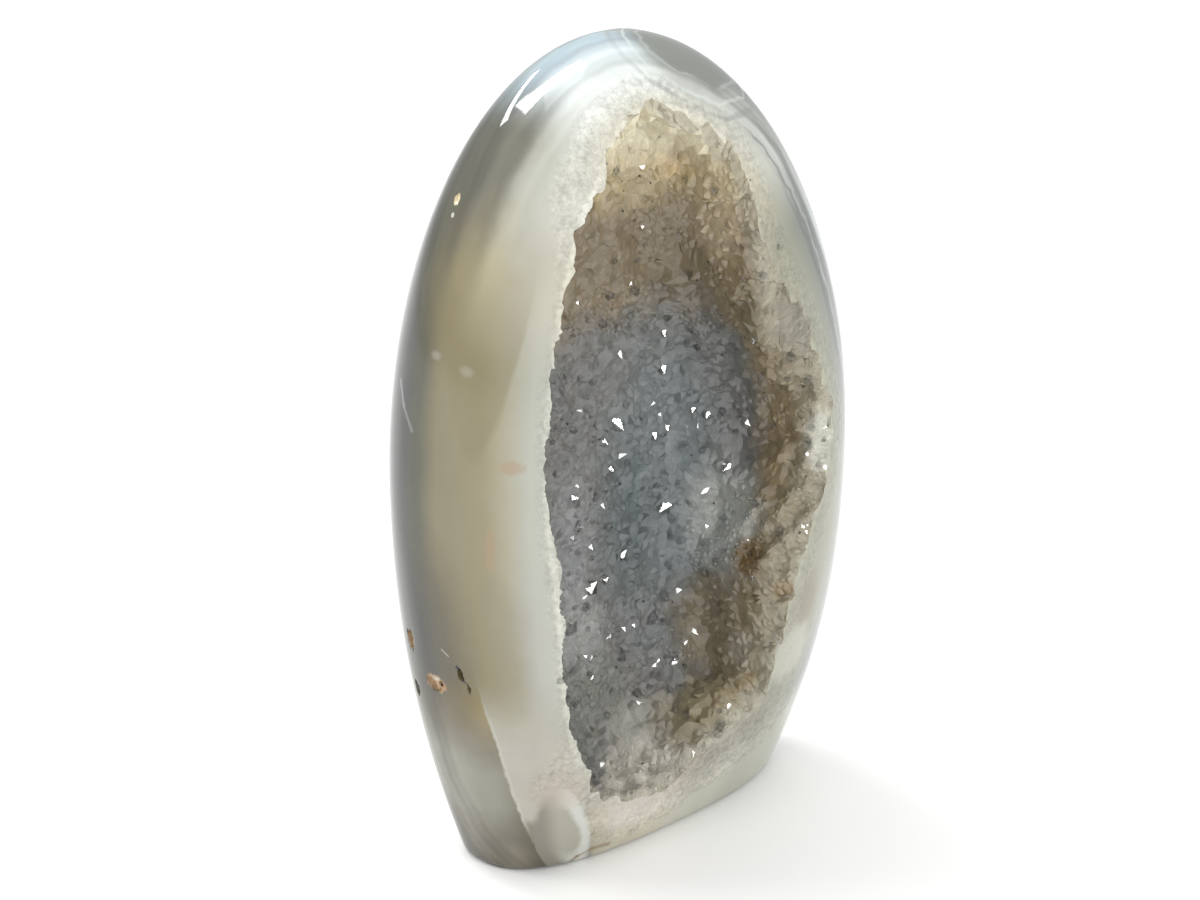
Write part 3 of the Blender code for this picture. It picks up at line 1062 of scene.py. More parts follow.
    def foot(self, bench: Bench, under: Wire, turn: Wire, z: Wire, pocket: Wire) -> Wire:
        """Lays the grey plate and the cream quartz of the lower left, parted by a sharp line."""
        line = 21.6 - z * 0.17 + z.ramp(27, 36) * -1.4
        jag = (bench.noise(1.6, 3.0, 0.6, 12.0) - 0.5) * 1.6
        beyond = turn - line + jag
        wavy = z + (bench.noise(7, 2, 0.5, 4.0) - 0.5) * 5
        grey = bench.bands(wavy, self.plate)
        grey = bench.mix(turn.ramp(8, -4) * wavy.ramp(20, 36) * 0.8, grey, self.dark_foot)
        by_line = turn.ramp(6, 18) * z.ramp(24, 34) * 1.1 + turn.ramp(8, 17) * z.ramp(8, 3) * 0.7
        grey = bench.shade(grey, by_line + turn.ramp(6, -6) * -0.30 + (bench.noise(5, 3, 0.55, 14.0) - 0.5) * 0.30)
        front = turn.ramp(-34, -14)
        low = wavy.ramp(42, 32)
        colour = bench.mix(low * front * beyond.ramp(0.3, -0.3) * turn.ramp(24, 14), under, grey)
        cream = bench.shade(self.as_wire(bench, self.cream), (bench.noise(5, 2, 0.5, 16.0) - 0.5) * 0.22)
        below = wavy.ramp(39, 26) * z.ramp(9.0, 12.5) * beyond.ramp(-0.15, 0.15) * turn.ramp(42, 33)
        colour = bench.mix(below, colour, cream)
        smoky = bench.mix(turn.ramp(16, 24), grey, self.smoke)
        colour = bench.mix(z.ramp(12.5, 9.0) * beyond.ramp(-0.3, 0.3) * turn.ramp(46, 38), colour, smoky)
        colour = bench.mix(z.ramp(17, 10) * turn.ramp(35.5, 37.5) * turn.ramp(52, 42), colour, self.beside_eye)
        edge = z.ramp(36, 28) * z.ramp(8, 11) * beyond.near(0.25, 0.25, 0.5)
        return bench.mix(edge * 0.4, colour, self.cream_edge)

    @staticmethod
    def as_wire(bench: Bench, colour: Colour) -> Wire:
        """Gives a plain colour as a wire."""
        return bench.mix(0.0, colour, colour)

    def fine_bands(self, bench: Bench, under: Wire, depth: Wire, side: Wire, z: Wire, sill: Wire) -> Wire:
        """Lays the thin bands that chalcedony shows away from the quartz."""
        wave = (depth * 4.4 + bench.noise(9, 2, 0.5, 21.0) * 7.0).sine()
        slow = (depth * 1.7 + bench.noise(12, 2, 0.5, 23.0) * 5.0).sine()
        crest = z.ramp(104, 116) * depth.ramp(0.5, 3.0) * 0.45
        crown = z.ramp(94, 106) * side.ramp(0.1, 0.0) * depth.ramp(1.0, 4.0) * 0.9
        where = depth.ramp(8.5, 14.0).at_least(side * depth.ramp(0.5, 3.0)).at_least(crest)
        where = where * (1.0 - sill)
        return bench.shade(under, wave * 0.09 * where + slow * 0.15 * where.at_least(crown))

    def arcs(self, bench: Bench, under: Wire, x: Wire, z: Wire, pocket: Wire) -> Wire:
        """Lays the grey lens of the upper right and the two lines round it."""
        reach = bench.vector("DISTANCE", bench.place, self.lens_centre)
        bent = reach + (bench.noise(5, 2, 0.5, 31.0) - 0.5) * 2.2
        where = z.ramp(105, 112) * pocket.ramp(-0.6, 0.6) * x.ramp(-8, -2)
        broken = bench.noise(6, 2, 0.5, 33.0).ramp(0.35, 0.55)
        colour = bench.mix(bent.ramp(27.6, 25.8) * where * 0.8, under, self.lens)
        colour = bench.mix(bent.near(27.9, 0.06, 0.26) * where * (broken * 0.30 + 0.08), colour, self.white_line)
        colour = bench.mix(bent.near(26.4, 0.04, 0.22) * where * broken * 0.20, colour, self.white_line)
        colour = bench.mix(bent.near(29.7, 0.14, 0.45) * where * 0.5, colour, self.dark_line)
        wavy = pocket + (bench.noise(5, 2, 0.5, 35.0) - 0.5) * 2.6
        beside = x.ramp(4, 9) * z.ramp(44, 66) * z.ramp(119, 113)
        colour = bench.mix(wavy.near(2.6, 0.14, 0.40) * beside * 0.55, colour, self.edge_dark)
        colour = bench.mix(wavy.near(3.5, 0.12, 0.40) * beside * 0.40, colour, self.edge_light)
        return bench.mix(wavy.near(5.2, 0.25, 0.60) * beside * 0.45, colour, self.edge_dark)

    def grains(self, bench: Bench) -> tuple[Wire, Wire]:
        """Breaks the polished quartz into sugary grains.

        Args:
            bench: the material's bench.

        Returns:
            How much lighter or darker each grain is, and where the grains show.
        """
        edge = bench.attribute("edge_mm")
        x, z = bench.axis("X"), bench.axis("Z")
        reach = x.ramp(2, 10) * 3.5 + z.ramp(30, 16) * 7.5 + z.ramp(98, 114) * x.ramp(8, -4) * 4.5 + 1.7
        where = (reach - edge + (bench.noise(2.4, 3, 0.65, 41.0) - 0.5) * 3.0).ramp(-0.9, 1.8)
        cell = 0.42 - bench.cells(0.85, "F1", "Distance")
        speck = bench.noise(0.40, 2.0, 0.6, 43.0) + bench.noise(1.0, 2.0, 0.6, 47.0) - 1.0
        cloud = bench.noise(2.2, 3.0, 0.6, 45.0) - 0.5
        where = where * self.eye_share(bench).ramp(0.88, 1.12)
        return cell * 0.16 + speck * 0.62 + cloud * 0.50, where

    def eye(self, bench: Bench, under: Wire, turn: Wire, z: Wire) -> Wire:
        """Lays the milky loop near the foot of the left rim, with its tan middle."""
        slant = (turn - self.eye_turn) * (1 / self.eye_reach[0]) - (z - self.eye_level) * (0.25 / self.eye_reach[1])
        share = self.eye_share(bench)
        tan = bench.mix(slant.ramp(-0.75, 0.05), self.smoke, self.tan)
        colour = bench.mix(share.ramp(1.0, 0.72), under, tan)
        loop = share.near(0.84, 0.07, 0.26) * slant.ramp(-0.35, 0.45)
        return bench.mix(loop, colour, self.milk)

    def eye_share(self, bench: Bench) -> Wire:
        """Gives the distance from the middle of the eye, 1 at its edge."""
        x, y, z = (bench.axis(letter) for letter in "XYZ")
        turn = bench.node("ShaderNodeMath", {"operation": "ARCTAN2"}, {0: 0.0 - y, 1: 0.0 - x}) * math.degrees(1)
        across = (turn - self.eye_turn) * (1 / self.eye_reach[0])
        up = (z - self.eye_level) * (1 / self.eye_reach[1])
        return (across * across + up * up) ** 0.5 + (bench.noise(3.5, 2.0, 0.5, 51.0) - 0.5) * 0.34

    def material(self) -> bpy.types.Material:
        """Builds the material."""
        bench = Bench(bpy.data.materials.new("polished_stone"))
        grain, where = self.grains(bench)
        return bench.finish({
            "Base Color": self.colour(bench, grain, where),
            "Roughness": where * 0.22 + 0.055,
            "IOR": 1.54,
            "Normal": bench.bump(grain * where, 0.0003, 0.35),
        })


@dataclass(frozen=True)
class DruseFinish:
    """The crystals of the hollow: grey, bluish in the middle, stained beige and brown, white where they broke off; the
    deep middle is darkened as painted shade, and the turning right wall and the lower corner are lightened as painted
    light.
    """

    grey: Colour = (0.160, 0.161, 0.152)
    plum: Colour = (0.158, 0.146, 0.138)
    upper: Colour = (0.212, 0.172, 0.114)
    beige: Colour = (0.435, 0.368, 0.228)
    top: Colour = (0.640, 0.590, 0.445)
    warm: Colour = (0.225, 0.178, 0.108)
    white: Colour = (0.370, 0.352, 0.285)
    right_rim: Colour = (0.300, 0.270, 0.200)
    stains_and_painted_shading: tuple[Patch, ...] = (
        Patch((5.5, -5.0, 57.0), (11.0, 10.0, 24.0), (0.170, 0.194, 0.199), 0.9, 1.2, 0.5, 7.0),
        # Partly painted shade: darker crystals, darkened further where the deep middle of the hollow lies in shade
        Patch((-1.5, -4.0, 53.0), (5.5, 6.0, 14.0), (0.112, 0.132, 0.133), 0.75, 1.2, 0.5, 5.0),
        Patch((-13.0, -5.0, 51.0), (4.0, 7.0, 12.0), (0.242, 0.250, 0.248), 0.85, 1.1, 0.5, 4.0),
        Patch((-12.0, -5.5, 36.0), (5.0, 6.0, 6.5), (0.300, 0.305, 0.290), 0.8, 1.0, 0.5, 4.0),
        Patch((-9.5, -6.5, 25.0), (6.0, 6.0, 6.5), (0.175, 0.175, 0.155), 0.8, 1.0, 0.4, 4.0),
        # Painted light: crystals lightened where the right wall turns away into shade, offsetting that shade
        Patch((13.0, -11.5, 51.0), (5.0, 7.0, 9.0), (0.370, 0.380, 0.355), 0.85, 1.1, 0.5, 3.0),
        # Pale crystals, lightened further as painted light against the shade of the deep lower corner (this patch and
        # the next)
        Patch((-2.0, -10.5, 17.0), (8.0, 7.0, 6.0), (0.340, 0.332, 0.290), 0.8, 1.0, 0.4, 4.0),
        Patch((-5.0, -13.5, 12.5), (10.0, 6.0, 5.0), (0.520, 0.495, 0.430), 0.9, 0.8, 0.4, 3.0),
        Patch((12.0, -12.5, 32.0), (7.5, 8.0, 9.5), (0.222, 0.180, 0.112), 0.85, 0.9, 0.5, 4.0),
        Patch((5.0, -15.5, 20.5), (9.5, 6.0, 4.8), (0.240, 0.200, 0.118), 0.85, 0.9, 0.5, 3.0),
        Patch((12.3, -16.5, 29.5), (3.0, 3.2, 3.4), (0.315, 0.285, 0.225), 0.85, 0.8, 0.4, 2.5),
        Patch((18.5, -19.0, 68.0), (6.0, 6.0, 14.0), (0.245, 0.190, 0.108), 0.8, 1.0, 0.5, 4.0),
        Patch((10.3, -20.5, 86.0), (4.5, 4.5, 6.5), (0.150, 0.122, 0.075), 0.75, 1.0, 0.5, 3.0),
        Patch((7.0, -14.0, 102.0), (3.8, 4.5, 6.0), (0.470, 0.400, 0.280), 0.8, 1.0, 0.5, 3.0),
        Patch((12.4, -19.3, 46.5), (4.2, 4.2, 3.2), (0.130, 0.080, 0.024), 0.95, 0.8, 0.6, 2.0),
        Patch((14.3, -23.0, 42.0), (2.0, 2.2, 1.8), (0.280, 0.200, 0.095), 0.7, 0.8, 0.5, 1.5),
        Patch((13.1, -20.2, 24.8), (3.2, 2.8, 2.1), (0.215, 0.145, 0.050), 0.9, 0.8, 0.5, 1.5),
        Patch((3.5, -8.5, 110.0), (3.0, 3.5, 2.4), (0.560, 0.430, 0.250), 0.6, 0.8, 0.5, 2.0),
    )
    over_rim: tuple[Patch, ...] = (
        Patch((18.0, -22.3, 29.5), (4.5, 3.0, 5.0), (0.440, 0.435, 0.360), 0.9, 0.6, 0.3, 2.0),
        Patch((23.0, -23.5, 65.0), (3.5, 3.0, 5.5), (0.520, 0.520, 0.450), 0.85, 0.8, 0.4, 1.5),
        Patch((17.0, -22.5, 88.0), (4.5, 4.0, 7.0), (0.235, 0.225, 0.180), 0.75, 1.0, 0.5, 2.0),
        Patch((14.5, -23.0, 42.0), (1.7, 2.0, 1.8), (0.270, 0.195, 0.100), 0.6, 1.0, 0.5, 1.5),
    )

    def colour(self, bench: Bench) -> Wire:
        """Builds the crystals' colour.

        Args:
            bench: the material's bench.

        Returns:
            The colour.
        """
        x, y, z = (bench.axis(letter) for letter in "XYZ")
        ragged = (bench.noise(6, 3, 0.6, 1.0) - 0.5) * 14
        colour = bench.mix(bench.noise(7, 3, 0.6, 2.0).ramp(0.42, 0.62) * 0.6, self.grey, self.plum)
        colour = bench.mix((z + ragged).ramp(81, 92), colour, self.upper)
        colour = bench.mix((y + ragged * 0.2).ramp(-11.5, -17.5) * z.ramp(14, 24), colour, self.warm)
        colour = bench.mix((z + ragged * 0.5).ramp(101, 109), colour, self.beige)
        colour = bench.mix((z + ragged * 0.3).ramp(109, 116), colour, self.top)
        colour = lay_all(bench, colour, self.stains_and_painted_shading)
        rim = (bench.attribute("rim_mm") + (bench.noise(2.0, 3, 0.6, 5.0) - 0.5) * 3.2).ramp(3.6, 0.9)
        colour = bench.mix(rim * z.ramp(104, 92, 0.6, 1.0), colour, self.white)
        slope = bench.attribute("rim_mm") + (bench.noise(3.0, 3, 0.6, 7.0) - 0.5) * 6.0
        colour = bench.mix(slope.ramp(7.5, 2.5) * x.ramp(8, 13) * z.ramp(22, 30) * 0.8, colour, self.right_rim)
        colour = lay_all(bench, colour, self.over_rim)
        tone = (bench.attribute("tone") - 0.5) * 0.24
        cloud = (bench.noise(2.0, 3, 0.6, 63.0) - 0.5) * 0.6
        fine = (bench.noise(0.36, 2, 0.6, 65.0) - 0.5) * 0.4
        return bench.shade(colour, tone + cloud + fine)

    def material(self) -> bpy.types.Material:
        """Builds the material."""
        bench = Bench(bpy.data.materials.new("druse"))
        return bench.finish({
            "Base Color": self.colour(bench),
            "Roughness": 0.08,
            "IOR": 1.54,
            "Subsurface Weight": 0.6,
            "Subsurface Radius": (1.0, 1.0, 1.0),
            "Subsurface Scale": 0.0008,
        })


@dataclass(frozen=True)
class CrystalFinish:
    """Clear quartz points."""

    tint: Colour = (0.90, 0.91, 0.90)

    def material(self) -> bpy.types.Material:
        """Builds the material."""
        bench = Bench(bpy.data.materials.new("clear_quartz"))
        return bench.finish({
            "Base Color": (*self.tint, 1.0),
            "Roughness": 0.04,
            "IOR": 1.54,
            "Transmission Weight": 1.0,
        })


@dataclass(frozen=True)
class SpeckFinish:
    """Dark, dull mineral specks."""

    dark: Colour = (0.018, 0.014, 0.012)
    brown: Colour = (0.060, 0.040, 0.022)

    def material(self) -> bpy.types.Material:
        """Builds the material."""
        bench = Bench(bpy.data.materials.new("dark_specks"))
        colour = bench.mix(bench.noise(0.3, 2, 0.5, 71.0), self.dark, self.brown)
        return bench.finish({"Base Color": colour, "Roughness": 0.45})


@dataclass(frozen=True)
class FloorFinish:
    """A plain pale floor."""

    pale: Colour = (0.90, 0.90, 0.895)

    def material(self) -> bpy.types.Material:
        """Builds the material."""
        bench = Bench(bpy.data.materials.new("pale_floor"))
        return bench.finish({"Base Color": (*self.pale, 1.0), "Roughness": 0.6, "Specular IOR Level": 0.2})


# Pieces


def store_attribute(mesh: bpy.types.Mesh, name: str, values: np.ndarray, domain: str = "POINT") -> None:
    """Writes one number for each point or face of a mesh."""
    attribute = mesh.attributes.new(name, "FLOAT", domain)
    attribute.data.foreach_set("value", values.astype(np.float32))


def surface_tree(obj: bpy.types.Object) -> BVHTree:
    """Gives a search tree over an object's faces."""
    return BVHTree.FromPolygons([v.co for v in obj.data.vertices], [p.vertices for p in obj.data.polygons])


def distance_to(surface: bpy.types.Object, places: np.ndarray) -> np.ndarray:
    """Gives the distance of each place to an object's surface, in millimetres."""
    tree = surface_tree(surface)
    return np.array([tree.find_nearest(place)[3] for place in places]) / MM


def edge_distance(places: np.ndarray) -> np.ndarray:
    """Gives the distance of each place to the hollow's edge in the polished front, in millimetres."""
    edge = HOLLOW.opening(720)
    tree = KDTree(len(edge))
    for index, place in enumerate(edge):
        tree.insert(place, index)
    tree.balance()
    return np.array([tree.find(place)[2] for place in places]) / MM


def join_copies(name: str, copies: Sequence[np.ndarray], faces: Sequence[tuple[int, ...]]) -> bpy.types.Object:
    """Joins moved copies of one small mesh in one object.

    Args:
        name: the object's name.
        copies: the vertices of each copy.
        faces: the faces that every copy has.

    Returns:
        The object, with its faces pointing out.
    """
    count = len(copies[0])
    all_faces = [tuple(index + n * count for index in face) for n in range(len(copies)) for face in faces]
    mesh = bpy.data.meshes.new(name)
    mesh.from_pydata(np.vstack(copies).tolist(), [], all_faces)
    mesh.update()
    obj = bpy.data.objects.new(name, mesh)
    bpy.context.scene.collection.objects.link(obj)
    select_only(obj)
    bpy.ops.object.mode_set(mode="EDIT")
    bpy.ops.mesh.select_all(action="SELECT")
    bpy.ops.mesh.normals_make_consistent(inside=False)
    bpy.ops.object.mode_set(mode="OBJECT")
    return obj


@dataclass
class PolishedAgate:
    """The agate itself, with the pocket that the quartz fills and the pits in its polish."""

    polish: bpy.types.Material
    segments: int = 288
    rings: int = 190
    pit_cuts: int = 3
    pit_margin: float = 0.0012

    @staticmethod
    def near_pits(places: np.ndarray, margin: float) -> np.ndarray:
        """Says which places lie by a pit."""
        near = np.zeros(len(places), dtype=bool)
        for pit in PITS:
            away = np.linalg.norm(places - np.array(pit.centre) * MM, axis=1)
            near |= away < max(pit.reach[1:]) * MM + margin
        return near

    def sink_pits(self, obj: bpy.types.Object) -> None:
        """Refines the mesh round each pit and sinks it."""
        near = self.near_pits(read_vertices(obj.data), self.pit_margin)
        select_only(obj)
        bpy.ops.object.mode_set(mode="EDIT")
        bpy.ops.mesh.select_all(action="DESELECT")
        bm = bmesh.from_edit_mesh(obj.data)
        for face in bm.faces:
            face.select = any(near[vert.index] for vert in face.verts)
        bmesh.update_edit_mesh(obj.data)
        bpy.ops.mesh.subdivide(number_cuts=self.pit_cuts)
        bpy.ops.object.mode_set(mode="OBJECT")
        co = read_vertices(obj.data)
        near = self.near_pits(co, 3 * self.pit_margin)
        smooth = STONE.settle(co[near])
        sunk = np.max([pit.depth_at(smooth) for pit in PITS], axis=0)
        inwards = np.stack([-smooth[:, 0], -smooth[:, 1], np.zeros(len(smooth))], axis=-1)
        inwards /= np.linalg.norm(inwards, axis=1, keepdims=True)
        co[near] = smooth + inwards * sunk[:, None]
        write_vertices(obj.data, co)

    def build(self) -> bpy.types.Object:
        """Builds and dresses the piece."""
        obj = add_stone("agate_stone", self.segments, self.rings)
        self.sink_pits(obj)
        pocket = add_pocket("pocket_cutter")
        apply_boolean(obj, pocket, "DIFFERENCE")
        co = read_vertices(obj.data)
        store_attribute(obj.data, "pocket_mm", distance_to(pocket, co))
        store_attribute(obj.data, "edge_mm", edge_distance(co))
        remove(pocket)
        select_only(obj)
        bpy.ops.object.shade_smooth_by_angle(angle=math.radians(35))
        obj.data.materials.clear()
        obj.data.materials.append(self.polish)
        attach(obj, "root")
        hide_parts("agate_body")
        return obj


@dataclass
class QuartzCrust:
    """The crust that fills the pocket: polished where it meets the front, crystals inside."""

    polish: bpy.types.Material
    segments: int = 288
    rings: int = 190
    seed: int = 23

    def store_tones(self, obj: bpy.types.Object, tips: np.ndarray) -> None:
        """Gives every crystal a tone of its own, read by its faces.

        Args:
            obj: the crust.
            tips: where the crystals stand.
        """
        tree = KDTree(len(tips))
        for index, tip in enumerate(tips):
            tree.insert(tip, index)
        tree.balance()
        rng = np.random.default_rng(self.seed)
        tones = rng.uniform(0, 1, len(tips))
        nearest = [tree.find(polygon.center)[1] for polygon in obj.data.polygons]
        store_attribute(obj.data, "tone", 0.6 * tones[nearest] + 0.4 * rng.uniform(0, 1, len(nearest)), "FACE")

    def build(self) -> bpy.types.Object:
        """Builds and dresses the piece."""
        druse = DruseFinish().material()
        obj = add_stone("quartz_crust", self.segments, self.rings)
        obj.data.materials.append(self.polish)
        pocket = add_pocket("pocket_cutter")
        pocket.data.materials.append(druse)
        apply_boolean(obj, pocket, "INTERSECT")
        crystals = CrystalHollow()
        hollow = crystals.build("crystal_hollow")
        hollow.data.materials.append(druse)
        apply_boolean(obj, hollow, "DIFFERENCE")
        co = read_vertices(obj.data)
        store_attribute(obj.data, "pocket_mm", -distance_to(pocket, co))
        store_attribute(obj.data, "edge_mm", edge_distance(co))
        store_attribute(obj.data, "rim_mm", (co[:, 1] - STONE.front_y(co[:, 0], co[:, 2])) / MM)
        self.store_tones(obj, crystals.tips)
        remove(pocket)
        remove(hollow)
        select_only(obj)
        bpy.ops.object.shade_smooth_by_angle(angle=math.radians(9))
        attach(obj, "root")
        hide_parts("druzy_crust")
        return obj


@dataclass(frozen=True)
class Glint:
    """A larger point with one face turned so that the front light flashes on it, in millimetres."""

    place: Place
    size: float


GLINTS = (
    Glint((5.0, -5.4, 82.6), 0.55),
    Glint((5.6, -4.8, 76.4), 0.70),
    Glint((-3.5, -4.0, 69.3), 1.15),
    Glint((-5.7, -3.9, 66.9), 0.50),
    Glint((6.7, -4.9, 66.3), 0.50),
    Glint((4.0, -4.6, 65.5), 0.60),
    Glint((11.5, -5.7, 67.9), 0.50),
    Glint((13.5, -6.2, 66.9), 0.60),
    Glint((15.6, -9.2, 58.0), 0.80),
    Glint((5.2, -5.3, 53.5), 1.10),
    Glint((-4.9, -3.9, 62.0), 0.50),
    Glint((-12.8, -4.0, 59.4), 0.60),
    Glint((-2.8, -3.7, 46.8), 0.75),
    Glint((-9.9, -4.5, 43.4), 1.05),
    Glint((-6.6, -4.3, 43.7), 0.45),
    Glint((10.8, -9.5, 41.5), 0.55),
    Glint((2.7, -5.3, 34.9), 0.95),
    Glint((-14.0, -4.6, 37.8), 1.10),
    Glint((-4.0, -5.5, 29.4), 0.75),
    Glint((5.3, -7.8, 27.3), 0.60),
    Glint((-2.4, -7.5, 23.3), 0.60),
    Glint((-0.1, -7.9, 23.8), 0.60),
    Glint((2.8, -9.3, 22.6), 0.60),
    Glint((2.2, -14.7, 20.6), 0.55),
    Glint((4.4, -19.3, 19.6), 0.55),
    Glint((12.2, -22.0, 99.0), 0.50),
    Glint((22.5, -23.5, 65.4), 0.50),
)


@dataclass
class QuartzPoints:
    """Clear quartz points that stand on the crust."""

    crust: bpy.types.Object
    spacing: tuple[float, float] = (0.0022, 0.0080)
    tries: int = 40000
    seed: int = 5
    radii: tuple[float, float] = (0.00030, 0.00070)
    tilt: float = 0.38
    sunk: float = 0.0005
    glint_lift: float = 0.00025
    glint_scale: float = 1.45

    def template(self) -> tuple[np.ndarray, list[tuple[int, ...]]]:
        """Models one point: a six-sided cylinder whose upper end is drawn to a tip.

        Returns:
            Its vertices, of unit radius and height, and its faces.
        """
        bpy.ops.object.select_all(action="DESELECT")
        bpy.ops.mesh.primitive_cylinder_add(vertices=6, radius=1, depth=1, location=(0, 0, 0.5), end_fill_type="NGON")
        obj = bpy.context.object
        select_only(obj)
        bpy.ops.object.transform_apply(location=True, rotation=True, scale=True)
        bpy.ops.object.mode_set(mode="EDIT")
        bm = bmesh.from_edit_mesh(obj.data)
        for face in bm.faces:
            face.select = face.normal.z > 0.9
        bmesh.update_edit_mesh(obj.data)
        bpy.ops.mesh.extrude_region_move(TRANSFORM_OT_translate={"value": (0, 0, 1)})
        bpy.ops.mesh.merge(type="CENTER")
        bpy.ops.object.mode_set(mode="OBJECT")
        co = read_vertices(obj.data)
        faces = [tuple(p.vertices) for p in obj.data.polygons]
        remove(obj)
        return co, faces

    @staticmethod
    def frame_of(main: np.ndarray, other: np.ndarray) -> np.ndarray:
        """Gives a right-angled frame from a main direction and one to lean towards."""
        second = other - main * (other @ main)
        second /= np.linalg.norm(second)
        return np.stack([main, second, np.cross(main, second)], axis=1)

    def glint_copy(self, unit: np.ndarray, faces: list[tuple[int, ...]], glint: Glint, flash: Vector,
                   tree: BVHTree) -> np.ndarray:
        """Turns and places one point so that its largest tip face looks along the flash direction.

        Args:
            unit: the template's vertices.
            faces: the template's faces.
            glint: where it stands and how large it is.
            flash: half-way between the front light and the camera.
            tree: the crust's faces.

        Returns:
            Its vertices.
        """
        size = glint.size * self.glint_scale * MM
        tip = unit[:, 2] > 1.5
        local = unit * [size, size, size * 0.95]
        tip_faces = [face for face in faces if len(face) == 3]
        leading = max(tip_faces, key=lambda face: unit[list(face), 0].sum())
        local[tip, :2] -= unit[list(leading), :2].mean(axis=0) * size * 0.45
        a, b, c = (local[index] for index in leading)
        normal = np.cross(b - a, c - a)
        normal /= np.linalg.norm(normal)
        if normal @ (a + b + c) < 0:
            normal = -normal
        point, wall, _, _ = tree.find_nearest(Vector(glint.place) * MM)
        towards = np.array(flash)
        outward = np.array(Vector((HOLLOW.middle_x, HOLLOW.front_y, HOLLOW.middle_z)) - point)
        outward = outward / np.linalg.norm(outward)
        turn = self.frame_of(towards, outward + np.array((0, 0, 0.01))) @ self.frame_of(normal, np.array((0, 0, 1.0))).T
        placed = local @ turn.T
        centre = placed[list(leading)].mean(axis=0)
        return placed - centre + np.array(point) + outward * self.glint_lift

    def build(self) -> bpy.types.Object:
        """Copies the point over the hollow, each copy turned, tilted and sized by chance."""
        unit, faces = self.template()
        scatter = Scatter(self.spacing, self.tries, self.seed, 0.0)
        normals = scatter.normals()
        rng = np.random.default_rng(self.seed + 1)
        count = len(scatter.places)
        axis = normals + rng.normal(0, self.tilt, (count, 3))
        axis /= np.linalg.norm(axis, axis=1, keepdims=True)
        side = np.cross(axis, rng.normal(0, 1, (count, 3)))
        side /= np.linalg.norm(side, axis=1, keepdims=True)
        other = np.cross(axis, side)
        radius = rng.uniform(0, 1, count) ** 1.6 * (self.radii[1] - self.radii[0]) + self.radii[0]
        lift = np.array([relief(Vector(place)) for place in scatter.places])
        feet = scatter.places + normals * (lift - self.sunk)[:, None]
        stem = radius * rng.uniform(0.6, 1.3, count) + self.sunk * 0.6
        cap = radius * rng.uniform(0.9, 1.25, count)
        tip = feet + axis * (stem + cap)[:, None]
        lower = unit[:, 2] < 0.5
        upper = unit[:, 2] > 1.5
        copies = []
        for i in np.flatnonzero(STONE.depth_inside(tip) > 0.0004):
            height = np.where(lower, 0.0, np.where(upper, stem[i] + cap[i], stem[i]))
            skew = rng.uniform(-0.3, 0.3, 2) * radius[i]
            copies.append(
                feet[i]
                + np.outer(unit[:, 0] * radius[i] + np.where(upper, skew[0], 0), side[i])
                + np.outer(unit[:, 1] * radius[i] + np.where(upper, skew[1], 0), other[i])
                + np.outer(height, axis[i])
            )
        tree = surface_tree(self.crust)
        stage = Stage()
        flash = (stage.direction(*stage.glint_place) + stage.direction(stage.azimuth, stage.elevation)).normalized()
        copies += [self.glint_copy(unit, faces, glint, flash, tree) for glint in GLINTS]
        obj = join_copies("quartz_points", copies, faces)
        obj.data.materials.append(CrystalFinish().material())
        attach(obj, "root")
        return obj


SPECK_PLACES = (
    (-4.1, -5.7, 103.9), (-1.7, -6.0, 103.2), (6.8, -12.9, 95.3), (6.8, -10.5, 92.1), (-13.0, -3.2, 71.4),
    (13.5, -9.4, 78.0), (17.8, -9.3, 66.3), (10.7, -5.6, 60.6), (12.7, -9.2, 53.2), (14.9, -18.1, 55.4),
    (-8.4, -3.8, 54.0), (1.1, -4.8, 37.6), (7.0, -5.6, 36.0), (3.2, -7.0, 29.8), (-5.3, -5.6, 28.4),
    (4.7, -9.9, 23.2), (-5.3, -11.5, 14.0), (-6.8, -3.5, 67.3), (18.2, -10.5, 67.8), (-7.5, -7.1, 111.1),
    (-1.7, -6.9, 108.9), (2.0, -7.3, 108.2), (-4.4, -6.5, 108.2), (-8.0, -6.6, 109.6), (8.9, -19.4, 109.1),
    (16.9, -24.0, 51.5), (-3.9, -6.0, 107.0), (0.6, -6.6, 107.6),
)


@dataclass
class MineralSpecks:
    """Dark specks that sit on the crystals."""

    crust: bpy.types.Object
    seed: int = 31
    radii: tuple[float, float] = (0.00011, 0.00021)

    def build(self) -> bpy.types.Object:
        """Copies one low-poly grain to each place on the crust."""
        bpy.ops.object.select_all(action="DESELECT")
        bpy.ops.mesh.primitive_ico_sphere_add(subdivisions=2, radius=1)
        grain = bpy.context.object
        unit = read_vertices(grain.data)
        faces = [tuple(p.vertices) for p in grain.data.polygons]
        remove(grain)
        rng = np.random.default_rng(self.seed)
        tree = surface_tree(self.crust)
        copies = []
        for place in SPECK_PLACES:
            point, normal, _, _ = tree.find_nearest(Vector(place) * MM)
            radius = rng.uniform(*self.radii)
            lumpy = unit * rng.uniform(0.75, 1.15, (len(unit), 1)) * radius
            copies.append(lumpy + np.array(point) + np.array(normal) * radius * 0.3)
        obj = join_copies("mineral_specks", copies, faces)
        obj.data.materials.append(SpeckFinish().material())
        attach(obj, "root")
        return obj


# Stage


@dataclass(frozen=True)
class Strip:
    """A long light: the directions of its two ends in degrees, its width in degrees and its brightness."""

    name: str
    start: tuple[float, float]
    end: tuple[float, float]
    width: float
    radiance: float
    reflected: bool = True


